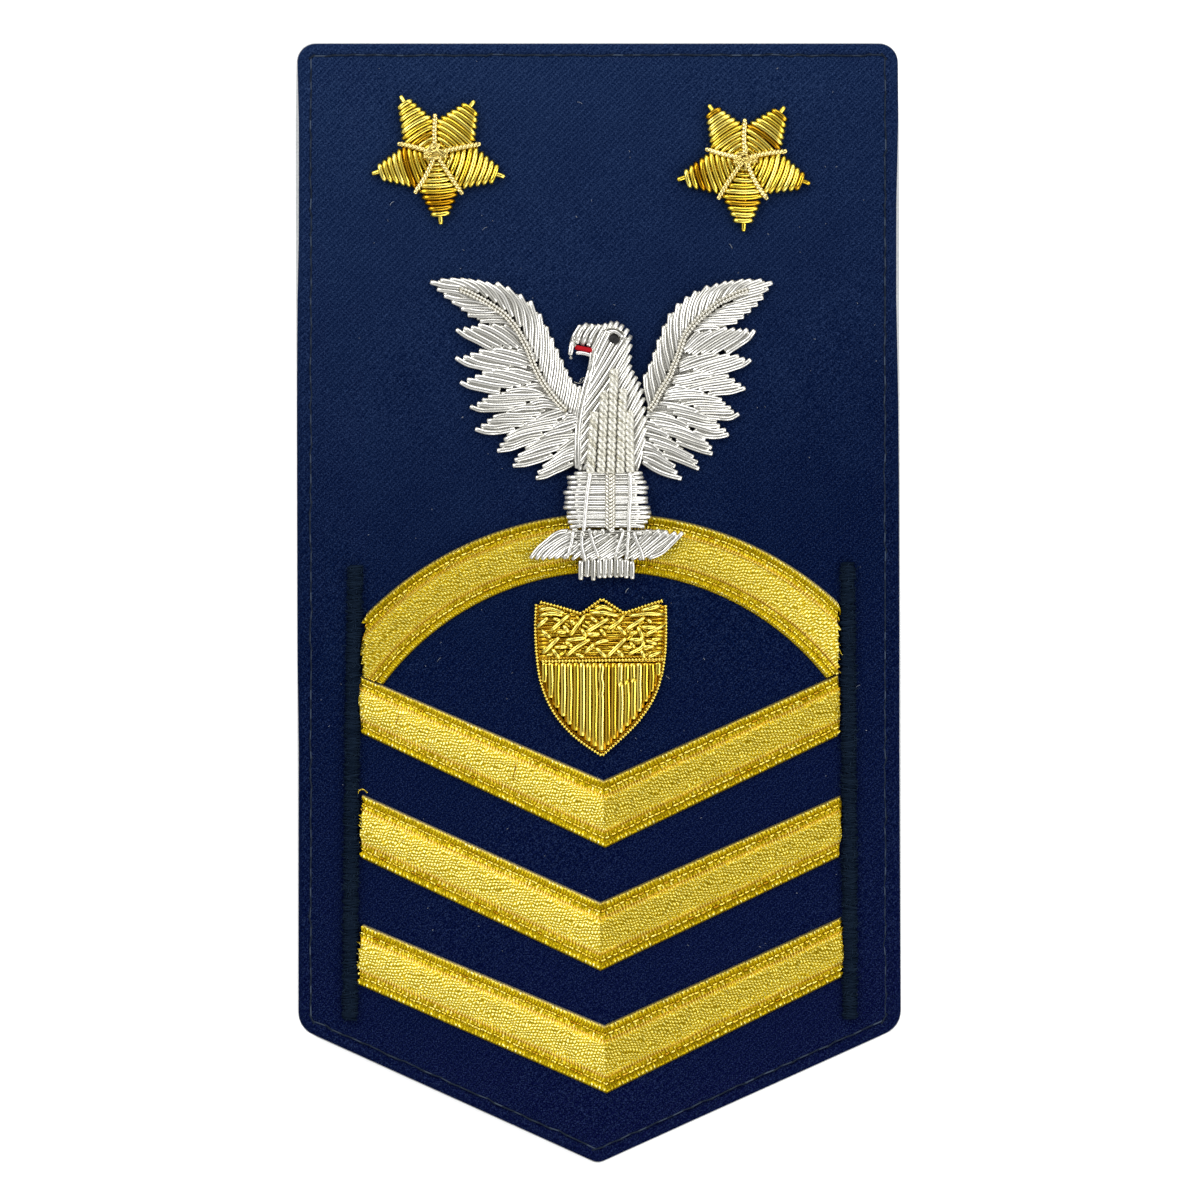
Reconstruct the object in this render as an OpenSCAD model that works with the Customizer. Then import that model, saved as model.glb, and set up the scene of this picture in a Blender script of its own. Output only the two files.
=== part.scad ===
// Rank chevron patch: a pointed cloth panel with gold lace and raised wire embroidery.
// +X runs to the right as the patch is seen, +Y up towards the stars, +Z out of the face.
// The origin is the centre of the flat back.

/* [Panel] */
// Width of the backing, side to side
patch_w = 101.8; // [98:0.1:106]
// Height from the top edge to the lower point
patch_h = 190; // [184:0.5:200]
// Slope of the two lower edges
point_deg = 24.4; // [20:0.1:28]
// Radius of the two top corners
top_corner_r = 3.4; // [1:0.1:8]
// Radius of the two side corners above the point
side_corner_r = 4.4; // [1:0.1:8]
// Radius of the lower point
point_r = 2.6; // [1:0.1:6]
// Thickness of the pale backing
backing_t = 0.8; // [0.5:0.1:2]
// How far the backing shows past the cloth
backing_show = 0.25; // [0.1:0.05:1]
// Thickness of the cloth with its turned-under layer
cloth_t = 1.5; // [1:0.1:3]
// Rounding of the turned edge
edge_roll = 0.5; // [0.1:0.05:0.9]

/* [Lace] */
// Width of the chevrons' gold lace
lace_w = 9.6; // [8:0.1:11]
// Width of the rocker's gold lace
rocker_w = 10.2; // [8:0.1:11]
// Height of the lace's padded middle
lace_t = 1.1; // [0.6:0.05:2]
// Clear width between the lace and the side of the patch
lace_margin = 10.3; // [9:0.1:13]
// Sideways place of the strip that the lace fills
lace_shift = 0.45; // [-1:0.05:1]
// Step from one chevron to the next
chevron_pitch = 20.75; // [18:0.05:22]
// Distance from the patch's point to the lowest chevron's point
chevron_rise = 12.5; // [9:0.1:14]
// Outer radius of the arched rocker
rocker_r = 57.6; // [54:0.1:62]
// Height of the rocker's crown above the upper chevron's notch
rocker_rise = 45.6; // [42:0.1:50]
// Sideways place of the rocker's centre
rocker_shift = 1.6; // [-2:0.1:2]

/* [End bars] */
// Width of a satin-stitched bar
bar_w = 2.4; // [1.5:0.1:3.5]
// Height of a bar
bar_t = 1.2; // [0.6:0.1:2]
// How far a bar runs past the lace
bar_overrun = 6.3; // [3:0.1:9]
// How much further out the foot of a bar stands than its top
bar_splay = 0.7; // [0:0.1:1.2]

/* [Stars] */
// Reach of a star's arms
star_r = 11.5; // [9:0.1:13]
// Height of a star's padded centre
star_t = 1.7; // [1:0.1:2.5]
// Distance from a star's centre to the side of the patch
star_margin = 24.7; // [20:0.1:28]
// Sideways place of the pair
star_shift = -1.2; // [-3:0.1:3]
// Drop of the star centres below the top edge, as a share of the room above the rocker
star_drop_share = 0.247; // [0.2:0.001:0.26]
// How much lower the right star sits than the left one
star_step = 0.8; // [0:0.1:2]
// Thickness of the twisted cord in the star's valleys
star_cord_d = 0.9; // [0.6:0.05:1.2]

/* [Eagle] */
// Distance between the wing tips
eagle_span = 57.8; // [52:0.1:62]
// Height from the tail's lower end to the crown of the head, as a share of the room above the rocker
eagle_share = 0.545; // [0.5:0.001:0.56]
// How far the tail reaches below the rocker's crown, as a share of the eagle's height
tail_overlap = 0.26; // [0.25:0.001:0.27]
// Sideways place of the body's middle line
eagle_shift = 1.5; // [-3:0.1:3]
// Height of the padded wings
wing_t = 1.3; // [0.8:0.1:2]
// Height of the padded body
body_t = 2.2; // [1.4:0.1:3]
// Height of the tail, the perch and the tail tip over the lace
tail_t = 1.2; // [0.8:0.1:2]
// Thickness of the beaded quill cord
quill_d = 1.1; // [0.7:0.1:1.5]
// Width of a breast braid
braid_w = 1.4; // [1:0.05:1.6]
// Diameter of the eye
eye_d = 1.7; // [1:0.1:2.5]
// Thickness of the smooth strands laid on the tail
strand_d = 0.8; // [0.5:0.05:1.1]

/* [Shield] */
// Height of the shield
shield_h = 26.6; // [23:0.1:28]
// Width of the shield
shield_w = 22.3; // [19:0.1:25]
// Sideways place of the shield
shield_shift = 0.7; // [-2:0.1:2]
// Height of the padded shield
shield_t = 1.5; // [1:0.1:2.2]
// Thickness of the beaded cords round and across the shield
shield_cord_d = 0.6; // [0.4:0.05:0.9]

/* [Seating] */
// Gap between pieces that lie on each other
seat_gap = 0.05; // [0.02:0.01:0.1]
// Gap between pieces that lie side by side
side_gap = 0.12; // [0.05:0.01:0.2]

/* [Hidden] */

// Colours
navy = [0.10, 0.15, 0.29];
dark_navy = [0.05, 0.09, 0.14];
gold = [0.84, 0.70, 0.20];
silver = [0.85, 0.85, 0.82];
pale = [0.90, 0.90, 0.90];

// Levels above the flat back
cloth_base = backing_t + seat_gap;
on_cloth = cloth_base + cloth_t + seat_gap;
on_lace = on_cloth + lace_t + seat_gap;

// Thickness of the thin ribs that padded forms are stretched over
rib_t = 0.02;
// Steps in each rounded corner of the panel
corner_steps = 8;
// Sides of a laid cord
cord_sides = 6;

function unit(v) = v / norm(v);
function across(v) = [-v.y, v.x];
function mid(a, b, share) = a + (b - a) * share;
function turned(v, deg) = [v.x * cos(deg) - v.y * sin(deg), v.x * sin(deg) + v.y * cos(deg)];

// PANEL

// Points of the arc that rounds corner b of an outline that runs a, b, c clockwise
function corner_arc(a, b, c, r) =
    let (u = unit(a - b),
         v = unit(c - b),
         half = acos(u * v) / 2,
         centre = b + unit(u + v) * r / sin(half),
         from = b + u * r / tan(half) - centre,
         sweep = 180 - 2 * half)
    [for (i = [0:corner_steps]) centre + turned(from, -sweep * i / corner_steps)];

// The panel's outline, drawn in from the backing's edge by inset
function panel_outline(inset) =
    let (half_w = patch_w / 2 - inset,
         top = patch_h / 2 - inset,
         tip_r = max(point_r - inset, 0.2),
         point = -patch_h / 2 + inset - tip_r * (1 / cos(point_deg) - 1),
         side = point + half_w * tan(point_deg),
         corners = [[-half_w, top], [half_w, top], [half_w, side], [0, point], [-half_w, side]],
         radii = [top_corner_r, top_corner_r, side_corner_r, point_r, side_corner_r])
    [for (i = [0:4])
        each corner_arc(corners[(i + 4) % 5], corners[i], corners[(i + 1) % 5], max(radii[i] - inset, 0.2))];

module backing_sheet() {
    color(pale) linear_extrude(backing_t) polygon(panel_outline(0));
}

// A thin slice of the cloth, drawn in by inset at a height over its foot
module cloth_slice(inset, z) {
    translate([0, 0, cloth_base + z]) linear_extrude(rib_t) polygon(panel_outline(backing_show + inset));
}

// The turned edge swells out from its foot and rolls in at the face
module cloth_panel() {
    color(navy) hull() {
        cloth_slice(edge_roll * 0.3, 0);
        cloth_slice(0, edge_roll * 0.6);
        cloth_slice(0, cloth_t - edge_roll);
        cloth_slice(edge_roll * 0.35, cloth_t - edge_roll * 0.3);
        cloth_slice(edge_roll, cloth_t - rib_t);
    }
}

// LACE

// Section of the lace: share of its width from the outer edge, share of its height.
// A rolled edge, a stitched groove and half of the padded middle; the other half is its mirror.
LACE_HALF = [[0, 0], [0, 0.45], [0.03, 0.64], [0.09, 0.66], [0.135, 0.50], [0.165, 0.50], [0.20, 0.70],
             [0.28, 0.88], [0.38, 0.97], [0.5, 1]];
function lace_section(width) =
    let (last = len(LACE_HALF) - 1)
    [for (p = LACE_HALF) [p.x * width, p.y * lace_t],
     for (i = [last - 1:-1:0]) [(1 - LACE_HALF[i].x) * width, LACE_HALF[i].y * lace_t]];

// Chevrons from the lowest up: sideways shift as a share of the lace width, slope of the left arm
// and of the right arm in degrees
CHEVRONS = [[0.13, 23.4, 25.3], [0.04, 24.9, 24.9], [0.11, 24.3, 25.0]];
lace_half = patch_w / 2 - lace_margin;

// Point of chevron i, on its lower edge
function chevron_point(i) = [CHEVRONS[i].x * lace_w, -patch_h / 2 + chevron_rise + i * chevron_pitch];
// Height of the notch on the upper edge of chevron i, over its point
function chevron_depth(i) = lace_w / cos(max(CHEVRONS[i].y, CHEVRONS[i].z));
upper = len(CHEVRONS) - 1;
notch_y = chevron_point(upper).y + chevron_depth(upper);

// Rocker, measured from its crown
rocker_crown = notch_y + rocker_rise;
rocker_centre = [rocker_shift, rocker_crown - rocker_r];
rocker_end_y = rocker_centre.y + sqrt(pow(rocker_r, 2) - pow(lace_half, 2));
// The room above the rocker's crown, which the eagle and the stars share
head_room = patch_h / 2 - rocker_crown;

// The bars run from above the rocker's ends to below the lowest chevron's ends
bar_top = rocker_end_y + bar_overrun;
bar_foot = chevron_point(0).y + lace_half * tan(CHEVRONS[0].y) - bar_overrun;

// Height past which a cut reaches beyond any piece
far = patch_w + patch_h;

// Sideways place of the lace ends at height y, which follow the splay of the bars
function lace_end(y) = lace_half + bar_splay * ((bar_top + bar_foot) / 2 - y) / (bar_top - bar_foot);

// The strip between the two bars, which trims the lace ends
module between_bars() {
    linear_extrude(on_lace + far)
        polygon([for (end = [[-1, 1], [1, 1], [1, -1], [-1, -1]])
                    let (y = end.y * patch_h / 2)
                    [lace_shift + end.x * lace_end(y), y]]);
}

// One arm of lace that leaves the point of chevron i to the right, its lower edge through that point
module lace_arm(deg) {
    rotate([0, 0, deg]) translate([-lace_w, 0, 0]) rotate([90, 0, 90])
        linear_extrude(patch_w) polygon(lace_section(lace_w));
}

// The half of space to the right of the mitre
module right_of_mitre() {
    translate([0, -far, -1]) cube([far, 2 * far, far]);
}

module chevron(i) {
    p = chevron_point(i);
    color(gold) intersection() {
        translate([p.x, p.y, on_cloth]) {
            intersection() {
                lace_arm(CHEVRONS[i].z);
                right_of_mitre();
            }
            mirror([1, 0, 0]) intersection() {
                lace_arm(CHEVRONS[i].y);
                right_of_mitre();
            }
        }
        between_bars();
    }
}

module lower_chevron() {
    chevron(0);
}

module middle_chevron() {
    chevron(1);
}

module upper_chevron() {
    chevron(2);
}

// The room above the upper chevron's top edge
module above_upper_chevron() {
    p = [chevron_point(upper).x, chevron_point(upper).y + lace_w / cos(CHEVRONS[upper].z) + side_gap];
    left_rise = far * tan(CHEVRONS[upper].y);
    right_rise = far * tan(CHEVRONS[upper].z);
    linear_extrude(on_lace + far)
        polygon([p, p + [far, right_rise], p + [far, far], p + [-far, far], p + [-far, left_rise]]);
}

module rocker_lace() {
    color(gold) intersection() {
        translate([rocker_centre.x, rocker_centre.y, on_cloth]) rotate_extrude($fn = 96)
            translate([rocker_r - rocker_w, 0]) polygon(lace_section(rocker_w));
        between_bars();
        above_upper_chevron();
    }
}

// END BARS

// Section of a bar: share of its width from the middle, share of its height
BAR_HALF = [[0.5, 0], [0.5, 0.45], [0.38, 0.82], [0.18, 1]];
module end_bar(side) {
    section = [for (p = BAR_HALF) [p.x * bar_w, p.y * bar_t],
               for (i = [len(BAR_HALF) - 1:-1:0]) [-BAR_HALF[i].x * bar_w, BAR_HALF[i].y * bar_t]];
    out = side_gap + bar_w / 2;
    foot = [lace_shift + side * (lace_end(bar_foot) + out), bar_foot];
    top = [lace_shift + side * (lace_end(bar_top) + out), bar_top];
    run = top - foot;
    color(dark_navy) translate([foot.x, foot.y, on_cloth]) rotate([0, 0, atan2(run.y, run.x)])
        rotate([90, 0, 90]) linear_extrude(norm(run)) polygon(section);
}

module left_end_bar() {
    end_bar(-1);
}

module right_end_bar() {
    end_bar(1);
}

// PADDED FORMS

// Profile of a rib: share of its run, share of its height
RIB = [[0, 0], [1, 0], [1, 0.45], [0.9, 0.8], [0.68, 1], [0.32, 1], [0.1, 0.8], [0, 0.45]];

// A thin upright rib between plan points a and b, from base to top
module rib(a, b, base, top) {
    run = b - a;
    translate([a.x, a.y, base]) rotate([0, 0, atan2(run.y, run.x)]) rotate([90, 0, 0])
        linear_extrude(rib_t, center = true) polygon([for (p = RIB) [p.x * norm(run), p.y * (top - base)]]);
}

// A padded form whose skin is stretched from each rib to the next, for forms that are merged with
// others: each row holds the two ends of a rib and its top level
module stretched(rows, base) {
    for (i = [0:len(rows) - 2]) hull() {
        rib(rows[i][0], rows[i][1], base, rows[i][2]);
        rib(rows[i + 1][0], rows[i + 1][1], base, rows[i + 1][2]);
    }
}

// A padded form that stands alone, lofted through its ribs. Each row holds the left end and the right
// end of a rib, seen along the loft, its top level and its base level.
module lofted(rows) {
    n = len(RIB);
    last = len(rows) - 1;
    points = [for (r = rows, p = RIB)
                 let (q = mid(r[0], r[1], p.x))
                 [q.x, q.y, r[3] + p.y * (r[2] - r[3])]];
    polyhedron(points, concat(
        [[for (i = [n - 1:-1:0]) i]],
        [for (k = [0:last - 1], i = [0:n - 1])
            let (j = (i + 1) % n)
            [k * n + i, k * n + j, (k + 1) * n + j, (k + 1) * n + i]],
        [[for (i = [0:n - 1]) last * n + i]]));
}

// Rings of a pad that rises from an outline: share of the outline about its centre, share of the height
PAD_RINGS = [[1, 0], [1, 0.35], [0.95, 0.6], [0.78, 0.8], [0.5, 0.94], [0.2, 1]];

// A pad over an outline that runs anticlockwise round its centre
module pad(outline, centre, base, height) {
    n = len(outline);
    last = len(PAD_RINGS) - 1;
    points = [for (r = PAD_RINGS, p = outline)
                 let (q = mid(centre, p, r.x))
                 [q.x, q.y, base + r.y * height]];
    polyhedron(points, concat(
        [[for (i = [0:n - 1]) i]],
        [for (k = [0:last - 1], i = [0:n - 1])
            let (j = (i + 1) % n)
            [k * n + i, (k + 1) * n + i, (k + 1) * n + j, k * n + j]],
        [[for (i = [n - 1:-1:0]) last * n + i]]));
}

// A round cord of radius r laid along points in space, open at its ends or closed to a loop
module cord(points, r, loop = false) {
    n = len(points);
    rings = [for (i = [0:n - 1])
                let (before = points[loop ? (i + n - 1) % n : max(i - 1, 0)],
                     after = points[loop ? (i + 1) % n : min(i + 1, n - 1)],
                     side = unit(across(after - before)),
                     p = points[i])
                for (s = [0:cord_sides - 1])
                    let (a = 360 * (s + 0.5) / cord_sides)
                    [p.x + side.x * r * cos(a), p.y + side.y * r * cos(a), p.z + r * sin(a)]];
    spans = loop ? n - 1 : n - 2;
    walls = [for (i = [0:spans], s = [0:cord_sides - 1])
                let (here = i * cord_sides, next = (i + 1) % n * cord_sides, t = (s + 1) % cord_sides)
                [here + s, here + t, next + t, next + s]];
    ends = loop ? [] : [[for (s = [cord_sides - 1:-1:0]) s],
                        [for (s = [0:cord_sides - 1]) (n - 1) * cord_sides + s]];
    polyhedron(rings, concat(walls, ends));
}

// STARS

// Arms of each star anticlockwise from the upper right one: direction of the tip in degrees, reach of
// the tip and reach of the waist after it, as shares of the star's reach
LEFT_STAR = [[54, 0.96, 0.53], [121, 1.00, 0.50], [197, 0.97, 0.56], [274, 1.01, 0.61], [342, 1.04, 0.60]];
RIGHT_STAR = [[54, 0.95, 0.52], [124, 0.96, 0.53], [196, 1.03, 0.62], [268, 1.03, 0.59], [339, 0.99, 0.53]];
// Half the width of an arm's blunt tip, as a share of the star's reach
star_tip = 0.045;

function star_centre(side) =
    [star_shift + side * (patch_w / 2 - star_margin),
     patch_h / 2 - star_drop_share * head_room - side * star_step / 2];
function polar(r, deg) = [r * cos(deg), r * sin(deg)];
// Direction of the waist after arm k
function waist_deg(arms, k) = (arms[k].x + arms[(k + 1) % 5].x + (k == 4 ? 360 : 0)) / 2;
function star_outline(arms, centre) =
    [for (k = [0:4])
        let (tip = polar(arms[k].y * star_r, arms[k].x), blunt = polar(star_tip * star_r, arms[k].x + 90))
        each [centre + tip - blunt, centre + tip + blunt, centre + polar(arms[k].z * star_r, waist_deg(arms, k))]];

module star(arms, side) {
    color(gold) pad(star_outline(arms, star_centre(side)), star_centre(side), on_cloth, star_t);
}

module left_star() {
    star(LEFT_STAR, -1);
}

module right_star() {
    star(RIGHT_STAR, 1);
}

// Stations of a valley cord: share of the waist's reach, share of the star's height
CORD_STATIONS = [[0, 1], [0.4, 0.97], [0.75, 0.84], [1.04, 0.42]];
// Strands of the knot: start and end directions in degrees, and reach as a share of the cord
KNOT = [[20, 200, 2.2], [100, 260, 2], [150, 320, 1.6]];

module star_cords(arms, side) {
    r = star_cord_d / 2;
    c = star_centre(side);
    color(pale) difference() {
        union() {
            for (k = [0:4], i = [0:len(CORD_STATIONS) - 2]) hull() for (j = [i, i + 1]) {
                s = CORD_STATIONS[j];
                p = c + polar(s.x * arms[k].z * star_r, waist_deg(arms, k));
                translate([p.x, p.y, on_cloth + s.y * star_t + r + seat_gap]) sphere(r, $fn = 6);
            }
            for (i = [0:len(KNOT) - 1]) hull() for (e = [0, 1]) {
                p = c + polar(KNOT[i].z * r, KNOT[i][e]);
                translate([p.x, p.y, on_cloth + star_t + r * (2 + i * 0.5)]) sphere(r, $fn = 6);
            }
        }
        pad(star_outline(arms, c), c, on_cloth, star_t + seat_gap);
    }
}

module left_star_cords() {
    star_cords(LEFT_STAR, -1);
}

module right_star_cords() {
    star_cords(RIGHT_STAR, 1);
}

// EAGLE

// A plan point of the eagle: share of the span from its middle line, share of the height from the
// tail's lower end
eagle_h = eagle_share * head_room;
tail_end = rocker_crown - tail_overlap * eagle_h;
function bird(u, v) = [eagle_shift + u * eagle_span, tail_end + v * eagle_h];

// Body from the foot of the breast to the crown: share of the height, left edge, right edge, pad height.
// The left edge steps in at the mouth.
BODY = [[0.416, -0.088, 0.094, 0.90], [0.530, -0.092, 0.105, 1.00], [0.650, -0.082, 0.116, 1.00],
        [0.716, -0.072, 0.105, 1.00], [0.782, -0.054, 0.094, 0.96], [0.844, -0.050, 0.076, 0.94],
        [0.856, -0.050, 0.073, 0.94], [0.860, -0.036, 0.072, 0.94], [0.914, -0.036, 0.071, 0.92],
        [0.918, -0.075, 0.072, 0.92], [0.969, -0.082, 0.064, 0.82], [1.000, -0.056, 0.012, 0.55]];
// Upper beak from the head to its hooked tip: two ends of a rib and its pad height
BEAK = [[-0.076, 0.981, -0.056, 0.918, 0.85], [-0.096, 0.946, -0.085, 0.916, 0.75],
        [-0.107, 0.903, -0.097, 0.903, 0.62], [-0.111, 0.865, -0.099, 0.865, 0.45]];

function body_rows(grow) =
    [for (b = BODY) [bird(b[1], b[0]) - [grow, 0], bird(b[2], b[0]) + [grow, 0], on_cloth + b[3] * body_t + grow]];

module eagle_body() {
    color(silver) {
        stretched(body_rows(0), on_cloth);
        stretched([for (b = BEAK) [bird(b[0], b[1]), bird(b[2], b[3]), on_cloth + b[4] * body_t]], on_cloth);
    }
}

// Level on which the braids and the eye lie
on_body = on_cloth + body_t + seat_gap;
eye_t = 0.4;

module eye() {
    p = bird(0.021, 0.931);
    color([0.15, 0.15, 0.15]) translate([p.x, p.y, on_body]) {
        cylinder(d = eye_d, h = eye_t * 0.6, $fn = 32);
        translate([0, 0, eye_t * 0.6]) cylinder(d1 = eye_d, d2 = eye_d * 0.6, h = eye_t * 0.4, $fn = 32);
    }
}

// The tongue and the lower beak lie in the mouth: place across, upper edge and lower edge
TONGUE = [[-0.090, 0.905, 0.889], [-0.041, 0.895, 0.879]];
LOWER_BEAK = [[-0.092, 0.883, 0.867], [-0.041, 0.873, 0.860]];
mouth_share = 0.8;

module mouth_strand(rows) {
    top = on_cloth + mouth_share * body_t;
    lofted([for (m = rows) [bird(m[0], m[1]), bird(m[0], m[2]), top, on_cloth]]);
}

module tongue() {
    color([0.78, 0.08, 0.12]) mouth_strand(TONGUE);
}

module lower_beak() {
    color(silver) mouth_strand(LOWER_BEAK);
}

// Heights of the tops of the breast braids from left to right, and of their feet, as shares of the height
BRAID_TOPS = [0.632, 0.718, 0.800, 0.726, 0.632];
braid_foot = 0.420;
braid_middle = 0.011;
braid_pitch = braid_w + 2 * side_gap;
// Links in a breast braid and the share of its width that is left between two links
braid_links = 7;
braid_waist = 0.62;
// Height of a braid as a share of its width
braid_rise = 0.5;

// A plaited ridge between two plan points, swelling at each link
module braid(from, to, base) {
    side = unit(across(to - from)) * braid_w / 2;
    rows = [for (i = [0:2 * braid_links])
               let (wide = i % 2 == 1 ? 1 : braid_waist, c = mid(from, to, i / (2 * braid_links)))
               [c + side * wide, c - side * wide, base + braid_rise * braid_w * wide, base]];
    color(pale) lofted(rows);
}

module breast_braid(i) {
    aside = [(i - 2) * braid_pitch, 0];
    braid(bird(braid_middle, braid_foot) + aside, bird(braid_middle, BRAID_TOPS[i]) + aside, on_body);
}

module breast_braid_1() {
    breast_braid(0);
}

module breast_braid_2() {
    breast_braid(1);
}

module breast_braid_3() {
    breast_braid(2);
}

module breast_braid_4() {
    breast_braid(3);
}

module breast_braid_5() {
    breast_braid(4);
}

// WINGS

// Quill and leading edge of each wing from the tip to the body: quill across, quill up, edge across,
// edge up, all as shares of the span and the height
LEFT_PLUME = [[-0.492, 1.132, -0.512, 1.156], [-0.430, 1.108, -0.400, 1.152], [-0.357, 1.070, -0.318, 1.148],
              [-0.284, 0.995, -0.221, 1.070], [-0.243, 0.915, -0.171, 0.969], [-0.205, 0.830, -0.123, 0.837],
              [-0.150, 0.745, -0.090, 0.770], [-0.100, 0.650, -0.078, 0.700]];
RIGHT_PLUME = [[0.468, 1.140, 0.484, 1.164], [0.400, 1.105, 0.395, 1.160], [0.345, 1.065, 0.304, 1.136],
               [0.285, 0.990, 0.225, 1.089], [0.232, 0.910, 0.166, 0.980], [0.200, 0.830, 0.138, 0.883],
               [0.161, 0.741, 0.115, 0.800], [0.120, 0.650, 0.112, 0.720]];
// Feathers below the quill, from the wing tip down: root across, root up, tip across, tip up
LEFT_FEATHERS = [[-0.320, 1.055, -0.462, 1.085], [-0.275, 1.000, -0.444, 0.975], [-0.235, 0.925, -0.444, 0.866],
                 [-0.205, 0.845, -0.429, 0.768], [-0.170, 0.770, -0.400, 0.673], [-0.140, 0.715, -0.382, 0.584],
                 [-0.110, 0.675, -0.322, 0.500], [-0.095, 0.630, -0.276, 0.440], [-0.090, 0.580, -0.209, 0.398]];
RIGHT_FEATHERS = [[0.320, 1.055, 0.450, 1.080], [0.280, 1.000, 0.434, 0.975], [0.240, 0.925, 0.419, 0.862],
                  [0.205, 0.845, 0.402, 0.742], [0.175, 0.770, 0.388, 0.648], [0.150, 0.715, 0.356, 0.567],
                  [0.125, 0.675, 0.308, 0.492], [0.110, 0.630, 0.270, 0.437], [0.105, 0.580, 0.215, 0.395]];
// Form of a feather: share of its length, share of its width, share of the wing's height. It starts
// behind its root, under the plume.
FEATHER = [[-0.12, 0.85, 1], [0.4, 1, 0.96], [0.75, 0.8, 0.8], [1, 0.16, 0.55]];
// Width of a feather as a share of the span
feather_w = 0.08;

module feather(root, tip) {
    side = unit(across(tip - root)) * feather_w * eagle_span / 2;
    hull() for (f = FEATHER) {
        c = mid(root, tip, f.x);
        rib(c - side * f.y, c + side * f.y, on_cloth, on_cloth + f.z * wing_t);
    }
}

module wing(plume, feathers) {
    color(silver) difference() {
        union() {
            stretched([for (p = plume) [bird(p[0], p[1]), bird(p[2], p[3]), on_cloth + wing_t]], on_cloth);
            for (f = feathers) feather(bird(f[0], f[1]), bird(f[2], f[3]));
        }
        translate([0, 0, -seat_gap]) stretched(body_rows(side_gap), on_cloth);
    }
}

module left_wing() {
    wing(LEFT_PLUME, LEFT_FEATHERS);
}

module right_wing() {
    wing(RIGHT_PLUME, RIGHT_FEATHERS);
}

// Places along each quill from the wing tip to the body: across, up
LEFT_QUILL = [[-0.430, 1.125], [-0.357, 1.082], [-0.284, 1.004], [-0.243, 0.922], [-0.214, 0.837], [-0.179, 0.751],
              [-0.129, 0.690]];
RIGHT_QUILL = [[0.424, 1.119], [0.375, 1.105], [0.319, 1.053], [0.255, 0.977], [0.220, 0.911], [0.198, 0.837],
               [0.161, 0.750], [0.142, 0.710]];

module quill(places) {
    z = on_cloth + wing_t + seat_gap + quill_d / 2;
    color(pale) cord([for (q = places) let (p = bird(q.x, q.y)) [p.x, p.y, z]], quill_d / 2);
}

module left_quill() {
    quill(LEFT_QUILL);
}

module right_quill() {
    quill(RIGHT_QUILL);
}

// TAIL AND PERCH

// Tail from its foot to the breast: share of the height, left edge, right edge
TAIL_LEFT = [[0.198, -0.107], [0.250, -0.123], [0.310, -0.125], [0.366, -0.119], [0.406, -0.098]];
TAIL_RIGHT = [[0.198, 0.117], [0.250, 0.126], [0.310, 0.124], [0.366, 0.118], [0.406, 0.102]];
tail_foot = 0.198;
tail_head = 0.406;
// Ribs in each of the tail's two stretches, over the lace and on the cloth
tail_ribs = 4;
tail_top = on_lace + tail_t;
on_tail = tail_top + seat_gap;
// Shares of the height between which the tail steps down from the rocker to the cloth
tail_step = tail_overlap + side_gap / eagle_h;
tail_landing = tail_step + side_gap / eagle_h;

function tail_rows(low, high, base) =
    [for (i = [0:tail_ribs])
        let (v = low + (high - low) * i / tail_ribs)
        [bird(lookup(v, TAIL_LEFT), v), bird(lookup(v, TAIL_RIGHT), v), tail_top, base]];

module tail_block() {
    color(silver) lofted(concat(tail_rows(tail_foot, tail_step, on_lace),
                                tail_rows(tail_landing, tail_head, on_cloth)));
}

// A smooth strand that lies on the tail between two heights
module tail_strand(foot_u, head_u) {
    z = on_tail + strand_d / 2;
    foot = bird(foot_u, tail_foot);
    head = bird(head_u, tail_head);
    color(silver) cord([[foot.x, foot.y, z], [head.x, head.y, z]], strand_d / 2);
}

module tail_strand_left() {
    tail_strand(-0.067, -0.050);
}

module tail_strand_right() {
    tail_strand(0.064, 0.067);
}

module tail_braid() {
    braid(bird(0.009, tail_foot), bird(0.011, tail_head), on_tail);
}

// Crossed leaves of the perch from left to right: place across, lower edge, upper edge
PERCH = [[-0.222, 0.078, 0.086], [-0.181, 0.080, 0.130], [-0.137, 0.080, 0.165], [-0.094, 0.080, 0.189],
         [-0.030, 0.080, 0.191], [0.030, 0.080, 0.191], [0.094, 0.080, 0.191], [0.140, 0.088, 0.191],
         [0.184, 0.125, 0.189], [0.220, 0.172, 0.184]];

module perch() {
    color(silver) lofted([for (p = PERCH) [bird(p[0], p[2]), bird(p[0], p[1]), tail_top, on_lace]]);
}

// Short upright strands under the perch: place across, lower edge
TAIL_TIP = [[-0.082, 0.016], [-0.060, 0.002], [-0.030, 0], [0.010, 0], [0.045, 0.004], [0.070, 0.012], [0.082, 0.016]];
tip_head = 0.073;

module tail_tip() {
    top = on_lace + 0.8 * tail_t;
    color(silver) lofted([for (t = TAIL_TIP) [bird(t[0], tip_head), bird(t[0], t[1]), top, on_lace]]);
}

// SHIELD

// Side of the shield from its point up: share of the height, share of the half width
SHIELD_SIDE = [[0, 0], [0.06, 0.19], [0.17, 0.48], [0.31, 0.73], [0.45, 0.89], [0.58, 0.96], [0.74, 1], [0.98, 1]];
// Top edge from the right corner to the left one: share of the half width, share of the height
SHIELD_TOP = [[0.94, 0.985], [0.32, 0.91], [0, 1], [-0.32, 0.91], [-0.94, 0.985]];
// Height of the line between the stripes and the upper field
divider_share = 0.59;
// How far the fields lie inside the border, and inside the divider
field_inset = shield_cord_d + side_gap;
// The shield hangs midway between the rocker and the upper chevron
shield_point = [shield_shift, (rocker_crown - rocker_w + notch_y - shield_h) / 2];

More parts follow.
